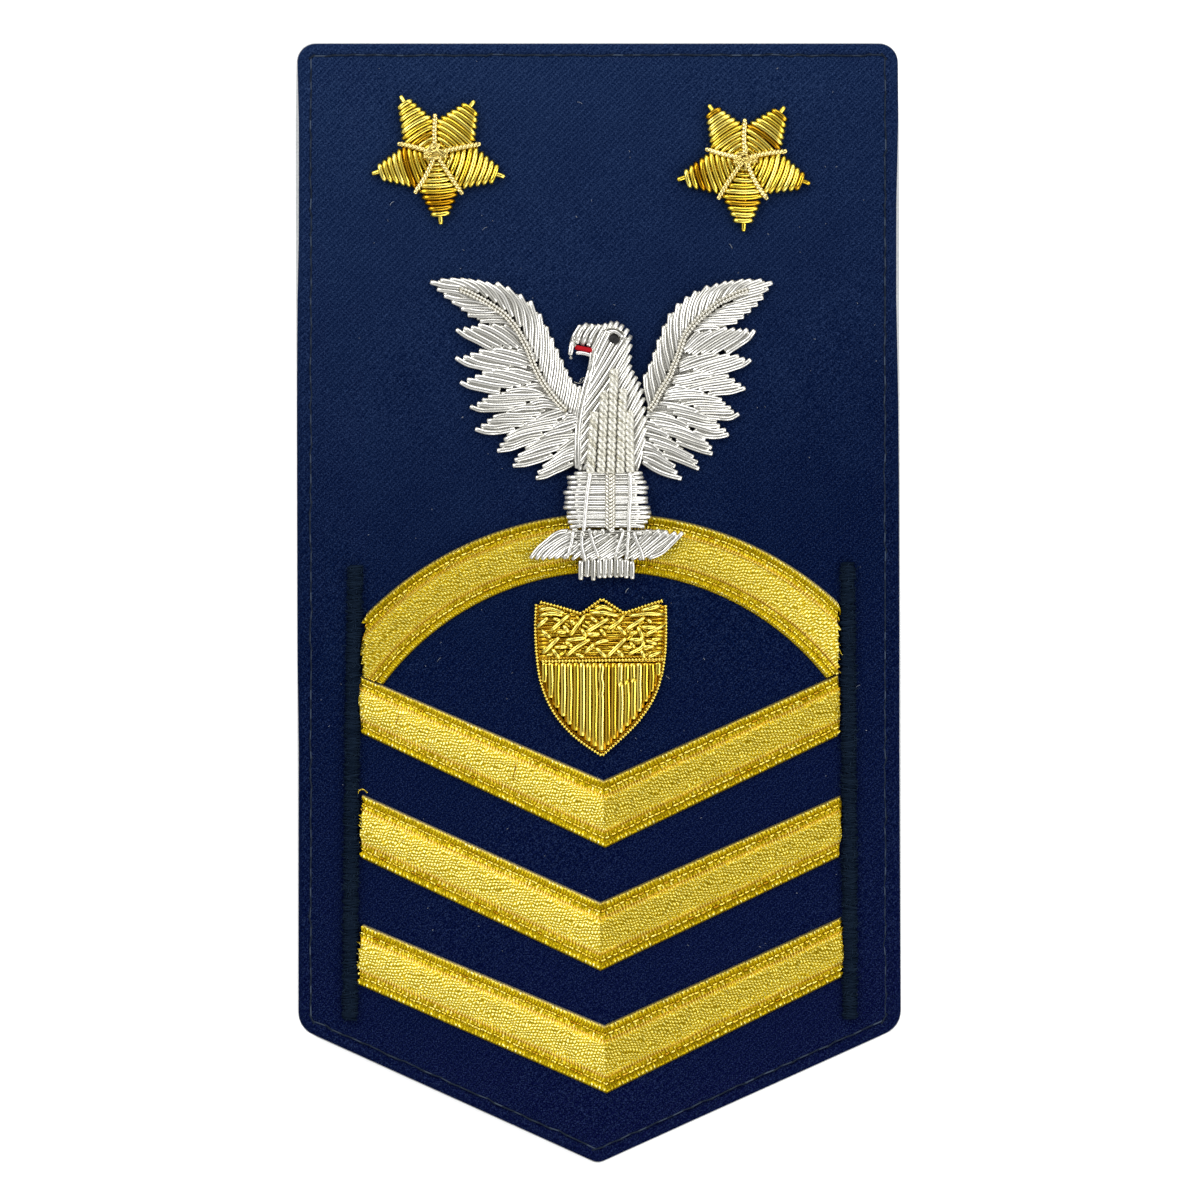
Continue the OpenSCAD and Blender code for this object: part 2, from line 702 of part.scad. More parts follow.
function shield(u, v) = shield_point + [u * shield_w / 2, v * shield_h];
function side_at(v) = lookup(v, SHIELD_SIDE);
function shield_outline() =
    [for (s = SHIELD_SIDE) shield(s.y, s.x),
     for (t = SHIELD_TOP) shield(t.x, t.y),
     for (i = [len(SHIELD_SIDE) - 1:-1:1]) shield(-SHIELD_SIDE[i].y, SHIELD_SIDE[i].x)];

// Inward share that leaves the border clear of the fields
field_share = 1 - 2 * field_inset / shield_w;
divider_v = field_inset / shield_h;

module shield_stripes() {
    top = divider_share - divider_v / 2;
    rows = [for (s = SHIELD_SIDE) if (s.x < top - 0.02) s];
    outline = [for (s = rows) shield(s.y * field_share, s.x + divider_v),
               shield(side_at(top) * field_share, top),
               shield(-side_at(top) * field_share, top),
               for (i = [len(rows) - 1:-1:1]) shield(-rows[i].y * field_share, rows[i].x + divider_v)];
    color(gold) pad(outline, shield(0, divider_share * 0.62), on_cloth, shield_t);
}

module shield_chief() {
    foot = divider_share + divider_v * 1.6;
    outline = [shield(-side_at(foot) * field_share, foot),
               shield(side_at(foot) * field_share, foot),
               shield(field_share, 0.8),
               for (t = SHIELD_TOP) shield(t.x * field_share, t.y - divider_v * 1.4),
               shield(-field_share, 0.8)];
    color(gold) pad(outline, shield(0, 0.78), on_cloth, shield_t);
}

module shield_border() {
    r = shield_cord_d / 2;
    share = 1 - shield_cord_d / shield_w;
    z = on_cloth + r;
    color(gold) cord([for (p = shield_outline())
                         let (q = mid(shield(0, 0.6), p, share))
                         [q.x, q.y, z]], r, loop = true);
}

module shield_divider() {
    r = shield_cord_d / 2;
    reach = side_at(divider_share) * field_share;
    a = shield(-reach, divider_share + divider_v / 2);
    b = shield(reach, divider_share + divider_v / 2);
    color(gold) cord([[a.x, a.y, on_cloth + r], [b.x, b.y, on_cloth + r]], r);
}

backing_sheet();
cloth_panel();
rocker_lace();
upper_chevron();
middle_chevron();
lower_chevron();
left_end_bar();
right_end_bar();
left_star();
right_star();
left_star_cords();
right_star_cords();
left_wing();
right_wing();
left_quill();
right_quill();
eagle_body();
eye();
tongue();
lower_beak();
breast_braid_1();
breast_braid_2();
breast_braid_3();
breast_braid_4();
breast_braid_5();
tail_block();
tail_strand_left();
tail_strand_right();
tail_braid();
perch();
tail_tip();
shield_chief();
shield_stripes();
shield_border();
shield_divider();
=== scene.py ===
"""Looks of the rank chevron patch: navy twill, gold lace, satin bars and laid wire embroidery.

Lengths are in metres. Places that were read off the photo are steps of its grid, and at() turns
them into places in the row frame.
"""

import math

import bmesh
import bpy
import numpy as np
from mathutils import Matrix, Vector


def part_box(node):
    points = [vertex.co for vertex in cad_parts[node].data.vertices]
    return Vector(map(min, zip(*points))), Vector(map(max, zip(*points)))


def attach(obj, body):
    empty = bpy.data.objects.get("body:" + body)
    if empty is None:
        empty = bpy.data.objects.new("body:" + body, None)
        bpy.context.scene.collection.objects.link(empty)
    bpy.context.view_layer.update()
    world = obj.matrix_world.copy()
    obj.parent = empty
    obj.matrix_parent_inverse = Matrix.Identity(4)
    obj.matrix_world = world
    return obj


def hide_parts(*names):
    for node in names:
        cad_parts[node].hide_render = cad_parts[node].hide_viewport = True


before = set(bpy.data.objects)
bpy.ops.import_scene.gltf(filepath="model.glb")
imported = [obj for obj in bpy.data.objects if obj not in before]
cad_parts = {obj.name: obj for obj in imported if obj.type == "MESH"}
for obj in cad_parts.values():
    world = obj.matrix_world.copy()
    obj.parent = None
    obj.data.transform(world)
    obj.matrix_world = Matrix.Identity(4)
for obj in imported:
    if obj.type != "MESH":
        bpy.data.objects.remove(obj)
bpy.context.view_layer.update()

MM = 0.001
rng = np.random.default_rng(7)

# A full turn for random phases, in radians
FULL_TURN = 6.28

# The photo's grid: its steps across, the length of one, and the step on which the origin lies
GRID_SIZE = 1200
GRID_STEP = 0.1692 * MM
GRID_MIDDLE = np.array([598.0, 602.75])

# Levels of the surfaces that the embroidery lies on
CLOTH_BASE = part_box("cloth_panel")[0][2]
CLOTH_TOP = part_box("cloth_panel")[1][2]
LACE_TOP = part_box("rocker_lace")[1][2]
BODY_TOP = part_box("eagle_body")[1][2]
WING_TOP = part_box("left_wing")[1][2]
STAR_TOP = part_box("left_star")[1][2]
SHIELD_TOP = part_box("shield_chief")[1][2]
TAIL_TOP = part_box("tail_block")[1][2]
SEAT = 0.05 * MM
ON_CLOTH = CLOTH_TOP + SEAT
ON_LACE = LACE_TOP + SEAT


def at(*places):
    """Places of the photo's grid in the row frame, as rows of x and y."""
    grid = np.array(places, float).reshape(-1, 2)
    return (grid - GRID_MIDDLE) * [GRID_STEP, -GRID_STEP]


# PATHS

def arc_shares(points):
    """How far along a line each of its points lies, as a share of its length."""
    steps = np.linalg.norm(np.diff(points, axis=0), axis=1)
    run = np.r_[0, np.cumsum(steps)]
    return run / run[-1]


def smooth(points, count):
    """A line of count points that runs smoothly through the given ones, evenly spaced."""
    p = np.asarray(points, float)
    if len(p) == 2:
        return p[0] + (p[1] - p[0]) * np.linspace(0, 1, count)[:, None]
    d = arc_shares(p)
    slope = np.gradient(p, d, axis=0)
    t = np.linspace(0, 1, count)
    i = np.clip(np.searchsorted(d, t, side="right") - 1, 0, len(p) - 2)
    h = (d[i + 1] - d[i])[:, None]
    u = (t - d[i])[:, None] / h
    return (
        (2 * u**3 - 3 * u**2 + 1) * p[i]
        + (u**3 - 2 * u**2 + u) * h * slope[i]
        + (3 * u**2 - 2 * u**3) * p[i + 1]
        + (u**3 - u**2) * h * slope[i + 1]
    )


def pick(points, share):
    """The point at that share of a line's length."""
    d = arc_shares(points)
    return np.array([np.interp(share, d, points[:, k]) for k in range(points.shape[1])])


def bowed(a, b, bow, count):
    """A line from a to b that bows sideways by a share of its length."""
    t = np.linspace(0, 1, count)[:, None]
    aside = np.array([-(b - a)[1], (b - a)[0]])
    return a + (b - a) * t + aside * bow * 4 * t * (1 - t)


def wavy(line, reach):
    """The same line with a slow hand-laid waver of that reach."""
    t = np.linspace(0, 1, len(line))
    phase, turns = rng.uniform(0, FULL_TURN), rng.uniform(0.6, 1.6)
    run = np.gradient(line, axis=0)
    aside = np.stack([-run[:, 1], run[:, 0]], 1)
    aside /= np.linalg.norm(aside, axis=1)[:, None] + 1e-12
    swing = np.sin(t * FULL_TURN * turns + phase) * reach * rng.uniform(0.3, 1)
    return line + aside * swing[:, None]


def at_level(line, z):
    """A plan line lifted to a level, or to one level for each point."""
    return np.column_stack([line, np.broadcast_to(z, len(line))])


def edge_distance(points, outline):
    """Distance from each point to the nearest side of a closed outline."""
    a, b = outline, np.roll(outline, -1, axis=0)
    run = b - a
    rel = points[:, None, :] - a[None]
    t = np.clip((rel * run).sum(2) / (run**2).sum(1), 0, 1)
    return np.linalg.norm(rel - t[..., None] * run, axis=2).min(1)


def ridge(distance, middle, width):
    """Height share of a soft ridge: 1 at its middle, fading over that width on either side."""
    return np.exp(-(((distance - middle) / width) ** 2))


def swell(distance, width):
    """Height share of a pad at a distance from its edge: a quarter round over that width."""
    u = 1 - np.clip(distance / width, 0, 1)
    return np.sqrt(1 - u**2)


# SKINS

def make_piece(name, mesh, material, nodes):
    """Puts a finished mesh in the scene as a piece that stands for some CAD nodes."""
    piece = bpy.data.objects.new(name, mesh)
    bpy.context.scene.collection.objects.link(piece)
    mesh.materials.append(material)
    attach(piece, "root")
    if nodes:
        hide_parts(*nodes)
    return piece


def ringed_mesh(name, skins, sides):
    """Closed skins through rings of points, as one mesh. Each skin is an array of rings by sides by 3."""
    rings = np.concatenate(skins)
    bm = bmesh.new()
    bmesh.ops.create_grid(bm, x_segments=sides, y_segments=len(rings) - 1, size=1)
    bm.verts.ensure_lookup_table()
    bm.faces.ensure_lookup_table()
    across = sides + 1
    gaps = np.cumsum([len(s) for s in skins])[:-1]
    between = [bm.faces[(g - 1) * sides + j] for g in gaps for j in range(sides)]
    seam = {bm.verts[r * across + sides]: bm.verts[r * across] for r in range(len(rings))}
    if between:
        bmesh.ops.delete(bm, geom=between, context="FACES")
    bmesh.ops.weld_verts(bm, targetmap=seam)
    bmesh.ops.holes_fill(bm, edges=[e for e in bm.edges if e.is_boundary], sides=0)
    mesh = bpy.data.meshes.new(name)
    bm.to_mesh(mesh)
    bm.free()
    mesh.vertices.foreach_set("co", rings.reshape(-1))
    mesh.polygons.foreach_set("use_smooth", [True] * len(mesh.polygons))
    mesh.update()
    test = bmesh.new()
    test.from_mesh(mesh)
    if test.calc_volume(signed=True) < 0:
        bmesh.ops.reverse_faces(test, faces=test.faces)
        test.to_mesh(mesh)
    test.free()
    return mesh


def add_attribute(mesh, name, values):
    """Gives each point of a mesh a number that a material can read."""
    numbers = np.asarray(values, np.float32).ravel()
    mesh.attributes.new(name, "FLOAT", "POINT").data.foreach_set("value", numbers)


# A tube's rounded end, as shares of its radius: how far it stands out, and its own radius
END_REACH = 0.35
END_RADIUS = 0.62
# Painted shade on a grooved tube: the tint on its flanks where it meets its neighbours, and how fast its
# sunk crest is painted darker with depth
FLANK_PAINTED_SHADE = 0.12
GROOVE_PAINTED_SHADE = 2.2
# Points of a twisted cord's line in each turn, and the size of a wire within a ply
POINTS_PER_TURN = 12
WIRE_IN_PLY = 0.52


class Bundle:
    """Laid wires and cords that make one piece."""

    def __init__(self, sides=8):
        self.sides = sides
        self.skins, self.tints, self.runs = [], [], []

    def lay(self, path, radius, tint=None, round_ends=True, groove=0.0):
        """Lays a tube along a path in space. Radius and tint are one number or one for each point. A
        groove sinks a line along the top, and painted shade darkens that line and the flanks where
        wires meet, so that the coil shows two bright lines."""
        path = np.asarray(path, float)
        r = np.broadcast_to(np.asarray(radius, float), len(path))
        tint = np.broadcast_to(rng.random() if tint is None else tint, len(path))
        if round_ends:
            first, last = path[0] - path[1], path[-1] - path[-2]
            first *= END_REACH * r[0] / np.linalg.norm(first)
            last *= END_REACH * r[-1] / np.linalg.norm(last)
            path = np.vstack([path[0] + first, path, path[-1] + last])
            r = np.r_[r[0] * END_RADIUS, r, r[-1] * END_RADIUS]
            tint = np.r_[tint[0], tint, tint[-1]]
        run = np.gradient(path, axis=0)
        run /= np.linalg.norm(run, axis=1)[:, None] + 1e-15
        side = np.cross(run, [0, 0, 1.0])
        side /= np.linalg.norm(side, axis=1)[:, None] + 1e-15
        up = np.cross(side, run)
        turn = np.arange(self.sides) * 2 * np.pi / self.sides
        cos, sin = np.cos(turn)[None, :, None], np.sin(turn)[None, :, None]
        ring = side[:, None] * cos + up[:, None] * sin
        reach, shade = np.ones(self.sides), np.ones(self.sides)
        # Painted shade: the sunk crest and the flanks are tinted darker
        if groove:
            crest = self.sides // 4
            reach[crest] -= groove
            shade[crest] = max(0.0, 1 - GROOVE_PAINTED_SHADE * groove)
            shade[[0, self.sides // 2]] = FLANK_PAINTED_SHADE
        self.skins.append(path[:, None] + ring * (r[:, None] * reach)[..., None])
        steps = np.r_[0, np.cumsum(np.linalg.norm(np.diff(path, axis=0), axis=1))]
        self.tints.append((tint[:, None] * shade).ravel())
        self.runs.append(np.repeat(steps, self.sides))

    def lay_beads(self, path, radius, pitch, tint=None, waist=0.6, per_bead=5):
        """Lays a cord that swells to a bead at every pitch, with painted shade darkening it between the
        beads.
        """
        length = np.linalg.norm(np.diff(path, axis=0), axis=1).sum()
        beads = max(1, round(length / pitch))
        line = smooth(path, beads * per_bead + 1)
        bulge = np.abs(np.sin(np.pi * np.linspace(0, beads, len(line))))
        tint = rng.random() if tint is None else tint
        # Painted shade: the tint falls off in the waists between beads
        self.lay(line, radius * (waist + (1 - waist) * bulge), tint * bulge**0.8, False)

    def lay_twist(self, path, radius, ply_radius, turn, plies=2, tint=None, wires=1):
        """Lays a cord of twisted plies: radius is the cord's own, turn the length of a full turn."""
        length = np.linalg.norm(np.diff(path, axis=0), axis=1).sum()
        line = smooth(path, max(8, int(length / turn * POINTS_PER_TURN)))
        run = np.gradient(line, axis=0)
        run /= np.linalg.norm(run, axis=1)[:, None]
        side = np.cross(run, [0, 0, 1.0])
        side /= np.linalg.norm(side, axis=1)[:, None]
        up = np.cross(side, run)
        s = np.linspace(0, length, len(line))
        for ply in range(plies):
            angle = 2 * np.pi * s / turn + 2 * np.pi * ply / plies
            out = side * np.cos(angle)[:, None] + up * np.sin(angle)[:, None]
            centre = line + out * (radius - ply_radius)
            if wires == 1:
                self.lay(centre, ply_radius, tint)
                continue
            for wire in range(wires):
                spin = angle * 2 + 2 * np.pi * wire / wires
                off = side * np.cos(spin)[:, None] + up * np.sin(spin)[:, None]
                self.lay(centre + off * ply_radius * WIRE_IN_PLY, ply_radius * WIRE_IN_PLY, tint)

    def piece(self, name, material, slot, *nodes):
        """Makes one piece of all that was laid."""
        mesh = ringed_mesh(name, self.skins, self.sides)
        add_attribute(mesh, "tint", np.concatenate(self.tints))
        add_attribute(mesh, "along", np.concatenate(self.runs) / MM)
        return make_piece(name, mesh, material, nodes)


# MATERIALS

class Shader:
    """A material with one principled shader, and short calls to build what drives it."""

    def __init__(self, name, **values):
        self.material = bpy.data.materials.new(name)
        self.material.use_nodes = True
        self.tree = self.material.node_tree
        self.surface = self.tree.nodes["Principled BSDF"]
        for key, value in values.items():
            self.surface.inputs[key.replace("_", " ")].default_value = value

    def node(self, kind, settings=(), **inputs):
        """Adds a node. Its inputs go by name, or by number after an underscore."""
        made = self.tree.nodes.new("ShaderNode" + kind)
        for key, value in dict(settings).items():
            setattr(made, key, value)
        for key, value in inputs.items():
            socket = made.inputs[int(key[1:])] if key[0] == "_" else made.inputs[key.replace("_", " ")]
            if isinstance(value, bpy.types.NodeSocket):
                self.tree.links.new(value, socket)
            else:
                socket.default_value = value
        return made.outputs[0]

    def math(self, operation, a, b=0.0, c=0.0):
        """A calculation on up to three values."""
        return self.node("Math", {"operation": operation}, _0=a, _1=b, _2=c)

    def add_up(self, *parts, start=0.0):
        """A start plus values, each times its weight."""
        total = start
        for value, weight in parts:
            total = self.math("MULTIPLY_ADD", value, weight, total)
        return total

    def attribute(self, name):
        """A number that the mesh holds for each of its points."""
        made = self.tree.nodes.new("ShaderNodeAttribute")
        made.attribute_name = name
        return made.outputs["Fac"]

    def place(self, turn=0.0):
        """Object coordinates, turned about the upright axis."""
        spot = self.tree.nodes.new("ShaderNodeTexCoord").outputs["Object"]
        return self.node("Mapping", (), Vector=spot, Rotation=(0, 0, turn))

    def axis(self, where, number):
        """One number of a place: 0 for x, 1 for y."""
        made = self.tree.nodes.new("ShaderNodeSeparateXYZ")
        self.tree.links.new(where, made.inputs[0])
        return made.outputs[number]

    def stripes(self, turn, pitch, warp):
        """Straight stripes from 0 to 1, at a pitch, a little unsteady."""
        where = self.place(turn)
        swing = self.math("MULTIPLY", self.noise(1.1 * MM), warp)
        turns = self.math("MULTIPLY_ADD", self.axis(where, 0), 2 * math.pi / pitch, swing)
        return self.math("MULTIPLY_ADD", self.math("SINE", turns), 0.5, 0.5)

    def noise(self, size, where=None, detail=2.0):
        """Soft random values whose patches are about that size."""
        where = where or self.place()
        return self.node("TexNoise", (), Vector=where, Scale=1 / size, Detail=detail, Roughness=0.6)

    def ramp(self, value, *stops):
        """Colours at shares of a value."""
        made = self.tree.nodes.new("ShaderNodeValToRGB")
        self.tree.links.new(value, made.inputs[0])
        points = made.color_ramp.elements
        while len(points) < len(stops):
            points.new(0.5)
        for point, (share, colour) in zip(points, stops):
            point.position = share
            point.color = (*colour, 1)
        return made.outputs[0]

    def blend(self, share, a, b, how="MIX"):
        """Colour b over colour a, by a share."""
        made = self.tree.nodes.new("ShaderNodeMix")
        made.data_type = "RGBA"
        made.blend_type = how
        for key, value in ((0, share), (6, a), (7, b)):
            if isinstance(value, bpy.types.NodeSocket):
                self.tree.links.new(value, made.inputs[key])
            else:
                made.inputs[key].default_value = (*value, 1) if key else value
        return made.outputs[2]

    def drive(self, **sockets):
        """Links values to the surface."""
        for key, value in sockets.items():
            self.tree.links.new(value, self.surface.inputs[key.replace("_", " ")])

    def bump(self, height, distance, strength):
        """Fine relief whose full height is that distance."""
        return self.node("Bump", (), Height=height, Distance=distance, Strength=strength)


def wire_material(name, dark, mid, light, metallic, roughness=0.22, specular=0.5):
    """Bright coiled wire, each strand a little lighter or darker and slightly uneven."""
    m = Shader(name, Metallic=metallic, Roughness=roughness, Specular_IOR_Level=specular)
    # Low tints, towards dark, carry painted shade: wires in gaps, dark cores, groove crests and bead
    # waists
    tone = m.ramp(m.attribute("tint"), (0.0, dark), (0.2, mid), (1.0, light))
    wear = m.noise(size=0.8 * MM)
    tone = m.blend(m.math("MULTIPLY", wear, 0.2), tone, dark)
    m.drive(
        Base_Color=tone,
        Roughness=m.math("MULTIPLY_ADD", wear, 0.10, roughness - 0.05),
        Normal=m.bump(wear, 0.03 * MM, 0.25),
    )
    return m.material


SILVER = wire_material(
    "silver_wire", dark=(0.19, 0.18, 0.145), mid=(0.54, 0.53, 0.485), light=(0.74, 0.73, 0.695),
    metallic=0.80, roughness=0.27,
)
QUILL = wire_material(
    "quill_beads", dark=(0.24, 0.22, 0.16), mid=(0.56, 0.54, 0.47), light=(0.64, 0.62, 0.56),
    metallic=0.8, roughness=0.25,
)
GOLD = wire_material(
    "gold_wire", dark=(0.33, 0.16, 0.003), mid=(0.66, 0.49, 0.045), light=(0.80, 0.67, 0.15),
    metallic=0.97,
)
PALE_CORD = wire_material(
    "pale_cord", dark=(0.30, 0.28, 0.20), mid=(0.58, 0.565, 0.495), light=(0.64, 0.63, 0.57),
    metallic=0.5, roughness=0.30,
)
GILT_CORD = wire_material(
    "gilt_cord", dark=(0.28, 0.18, 0.02), mid=(0.60, 0.48, 0.15), light=(0.80, 0.70, 0.35),
    metallic=0.97,
)
RED = wire_material(
    "red_thread", dark=(0.17, 0.001, 0.003), mid=(0.30, 0.002, 0.006), light=(0.38, 0.004, 0.010),
    metallic=0.0, roughness=0.5, specular=0.1,
)


def thread_material(name, dark, light):
    """Spun thread, with a soft fuzz of tone."""
    m = Shader(name, Roughness=0.6, Specular_IOR_Level=0.0)
    fuzz = m.noise(0.25 * MM, detail=3.0)
    tone = m.blend(m.add_up((fuzz, 0.4), (m.attribute("tint"), 0.6)), dark, light)
    m.drive(Base_Color=tone, Normal=m.bump(fuzz, 0.03 * MM, 0.6))
    return m.material


DARK_THREAD = thread_material("dark_thread", (0.0003, 0.0014, 0.0055), (0.0135, 0.0245, 0.0440))
HEM_THREAD = thread_material("hem_thread", (0.0005, 0.002, 0.007), (0.050, 0.068, 0.100))
LINT = thread_material("lint", (0.06, 0.08, 0.12), (0.26, 0.28, 0.30))


# The twill's slant, the pitch of its broad ribs, of the fine wales on them and of the yarns across
TWILL_SLANT = math.radians(45)
TWILL_RIB = 1.066 * MM
TWILL_WALE = 0.533 * MM
TWILL_YARN = 0.55 * MM


def twill_material():
    """Navy wool twill: slanting ribs crossed by finer yarns, with painted light that brightens it a little
    towards the top left, and painted glints.
    """
    m = Shader("navy_twill", Roughness=0.9, Specular_IOR_Level=0.0)
    ribs = m.stripes(TWILL_SLANT, TWILL_RIB, warp=4.0)
    wales = m.stripes(TWILL_SLANT, TWILL_WALE, warp=4.5)
    yarns = m.stripes(-TWILL_SLANT, TWILL_YARN, warp=4.5)
    fuzz = m.noise(0.20 * MM, detail=3.0)
    specks = m.math("MAXIMUM", m.math("SUBTRACT", m.noise(0.34 * MM, detail=1.0), 0.60), 0.0)
    level = m.add_up((ribs, 0.09), (wales, 0.13), (yarns, 0.09), (specks, 1.6), (fuzz, 1.08))
    tone = m.ramp(
        level,
        (0.42, (0.0001, 0.0018, 0.0140)),
        (0.66, (0.0030, 0.0085, 0.0335)),
        (0.95, (0.0135, 0.0245, 0.0640)),
    )
    # Painted light: the cloth is made brighter towards the top left, with slow random patches
    upward = m.axis(m.place(math.radians(-14)), 1)
    cloud = m.noise(9 * MM, detail=2.0)
    painted_light_level = m.add_up((cloud, 0.25), (upward, 1 / (190 * MM)), start=0.375)
    light = m.ramp(
        painted_light_level,
        (0.0, (0.23, 0.18, 0.49)),
        (0.5, (0.12, 0.23, 0.44)),
        (1.0, (0.90, 0.98, 0.97)),
    )
    # Painted glints: small bright blue specks added over the cloth's colour
    glint = m.ramp(m.noise(0.22 * MM, detail=1.0), (0.50, (0, 0, 0)), (0.74, (0.011, 0.019, 0.042)))
    tone = m.blend(1.0, m.blend(1.0, tone, light, "MULTIPLY"), glint, "ADD")
    m.drive(Base_Color=tone, Normal=m.bump(level, 0.10 * MM, 0.6))
    return m.material


# Pitch of the lace's weave along and across it
LACE_RIB = 0.50 * MM
LACE_ROW = 0.54 * MM


def lace_material():
    """Metal lace: staggered floats, dotted selvedges and grooves, with painted highlights on the
    raised floats and dots, painted shade in the gaps, a brown painted shade in the grooves, and
    painted shade by the way it leans.
    """
    m = Shader("gold_lace", Metallic=0.85, Roughness=0.40, Specular_IOR_Level=0.1)
    along, across, crown = m.attribute("along"), m.attribute("across"), m.attribute("crown")
    where = m.node("CombineXYZ", (), X=along, Y=across)
    drift = m.math("MULTIPLY", m.noise(2.6, where, detail=1.0), 8.0)
    ribs = m.math("SINE", m.add_up((along, 2 * math.pi / (LACE_RIB / MM)), start=drift))
    sway = m.math("MULTIPLY", m.noise(1.5 * MM, detail=1.0), 15.0)
    upward = m.axis(m.place(math.pi / 2), 0)
    rows = m.math("SINE", m.add_up((upward, 2 * math.pi / LACE_ROW), start=sway))
    grain = m.noise(0.35, where, detail=1.0)
    staggered = m.math("MULTIPLY", ribs, rows)
    floats = m.add_up((ribs, 0.12), (staggered, 0.32), (rows, 0.24), (grain, 0.4), start=0.31)
    dots = m.add_up((grain, 0.6), (ribs, 0.16), (m.attribute("relief"), 0.95), start=-0.04)
    level = m.math(
        "ADD",
        m.math("MULTIPLY", floats, crown),
        m.math("MULTIPLY", dots, m.math("SUBTRACT", 1.0, crown)),
    )
    # Colours by level: painted shade in the gaps of the weave, painted highlights on the raised floats and
    # dots
    middle = m.ramp(
        level,
        (0.15, (0.29, 0.185, 0.003)),
        (0.42, (0.45, 0.33, 0.012)),
        (0.64, (0.62, 0.510, 0.075)),
        (0.92, (0.86, 0.80, 0.33)),
    )
    edge = m.ramp(
        level,
        (0.10, (0.25, 0.150, 0.001)),
        (0.42, (0.45, 0.330, 0.003)),
        (0.65, (0.62, 0.500, 0.035)),
        (0.90, (0.92, 0.87, 0.42)),
    )
    # Painted shade in the grooves at the foot of the padded middle
    groove = m.ramp(
        crown,
        (0.0, (1, 1, 1)),
        (0.10, (0.66, 0.44, 0.14)),
        (0.42, (0.90, 0.80, 0.60)),
        (0.78, (1, 1, 1)),
    )
    tone = m.blend(1.0, m.blend(crown, edge, middle), groove, "MULTIPLY")
    tone = m.blend(m.attribute("selvedge"), tone, (0.46, 0.41, 0.28))
    # Painted shade by the way the lace leans
    tone = m.blend(m.attribute("painted_lean_shade"), tone, (0.75, 0.72, 0.46), "MULTIPLY")
    m.drive(Base_Color=tone, Normal=m.bump(level, 0.13 * MM, 0.9))
    return m.material


def felt_material():
    """Pale pressed felt."""
    m = Shader("backing_felt", Roughness=0.95, Specular_IOR_Level=0.2)
    fuzz = m.noise(0.3 * MM, detail=4.0)
    m.drive(
        Base_Color=m.ramp(fuzz, (0.3, (0.34, 0.35, 0.36)), (0.7, (0.48, 0.49, 0.49))),
        Normal=m.bump(fuzz, 0.08 * MM, 0.8),
    )
    return m.material


TWILL = twill_material()
LACE = lace_material()
FELT = felt_material()


# PANEL

# Sides of the cloth and of the backing: height on the grid, left edge, right edge
CLOTH_SIDES = [
    (41, 296.4, 898.3), (120, 298.2, 898.8), (200, 298.2, 897.0), (240, 298.1, 896.9),
    (300, 296.9, 896.9), (400, 296.3, 898.9), (480, 296.5, 899.6), (660, 297.0, 900.0),
    (750, 298.2, 900.0), (1000, 297.9, 901.2), (1200, 297.9, 901.3),
]
BACKING_SIDES = [
    (41, 296.0, 898.5), (120, 294.9, 899.5), (200, 295.0, 900.0), (300, 295.4, 900.0),
    (400, 295.9, 900.5), (500, 296.0, 900.9), (660, 296.3, 901.4), (780, 297.0, 901.6),
    (1000, 297.4, 901.9), (1200, 297.4, 901.9),
]
# Stitch line of the hem, in from the edge, the step from one stitch to the next, and the share of
# a step that a stitch fills
HEM_INSET = 2.05 * MM
HEM_STEP = 3.28 * MM
HEM_STEP_SHARE = (0.72, 0.82)
# Slope of the two lower edges, and the radii of the corners: at the top, at the sides, at the tip
PANEL_SLOPE = math.radians(24.3)
TOP_CORNER = 3.2 * MM
SIDE_CORNER = 4.2 * MM
TIP_CORNER = 2.4 * MM


def panel_half_width(y, half, top, foot):
    """Width from the middle to a side at heights, with the corners rounded. half is the width at
    those heights before rounding."""
    corner_top, corner_side, tip = TOP_CORNER, SIDE_CORNER, TIP_CORNER
    point = foot - tip * (1 / math.cos(PANEL_SLOPE) - 1)
    width = np.minimum(half, (y - point) / math.tan(PANEL_SLOPE))
    drop = np.clip(corner_top - (top - y), 0, corner_top)
    width = np.minimum(width, half - corner_top + np.sqrt(np.maximum(corner_top**2 - drop**2, 0)))
    side_y = point + half * math.tan(PANEL_SLOPE) + corner_side * math.tan((math.pi / 2 - PANEL_SLOPE) / 2)
    low = np.clip(side_y - y, 0, corner_side)
    round_x = half - corner_side + np.sqrt(corner_side**2 - low**2)
    inside = (y < side_y) & (y > side_y - corner_side * math.cos(PANEL_SLOPE))
    width = np.where(inside, np.minimum(width, round_x), width)
    low_tip = np.clip(foot + tip - y, 0, tip)
    tip_x = np.sqrt(np.maximum(tip**2 - low_tip**2, 0))
    return np.where(y < foot + tip * (1 - math.cos(PANEL_SLOPE)), np.minimum(width, tip_x), width)


def panel_outline(box, sides, count):
    """The panel's outline: heights from the foot up, and the left and right side there."""
    foot, top = box[0][1], box[1][1]
    y = np.linspace(foot + 1e-6, top - 1e-6, count)
    near_top, near_foot = np.geomspace(1e-6, 4 * MM, 24), np.geomspace(1e-6, 3 * MM, 16)
    y = np.unique(np.r_[y, top - near_top, foot + near_foot])
    rows = np.array(sides, float)[::-1]
    heights = (GRID_MIDDLE[1] - rows[:, 0]) * GRID_STEP
    left = np.interp(y, heights, (GRID_MIDDLE[0] - rows[:, 1]) * GRID_STEP)
    right = np.interp(y, heights, (rows[:, 2] - GRID_MIDDLE[0]) * GRID_STEP)
    return y, -panel_half_width(y, left, top, foot), panel_half_width(y, right, top, foot)


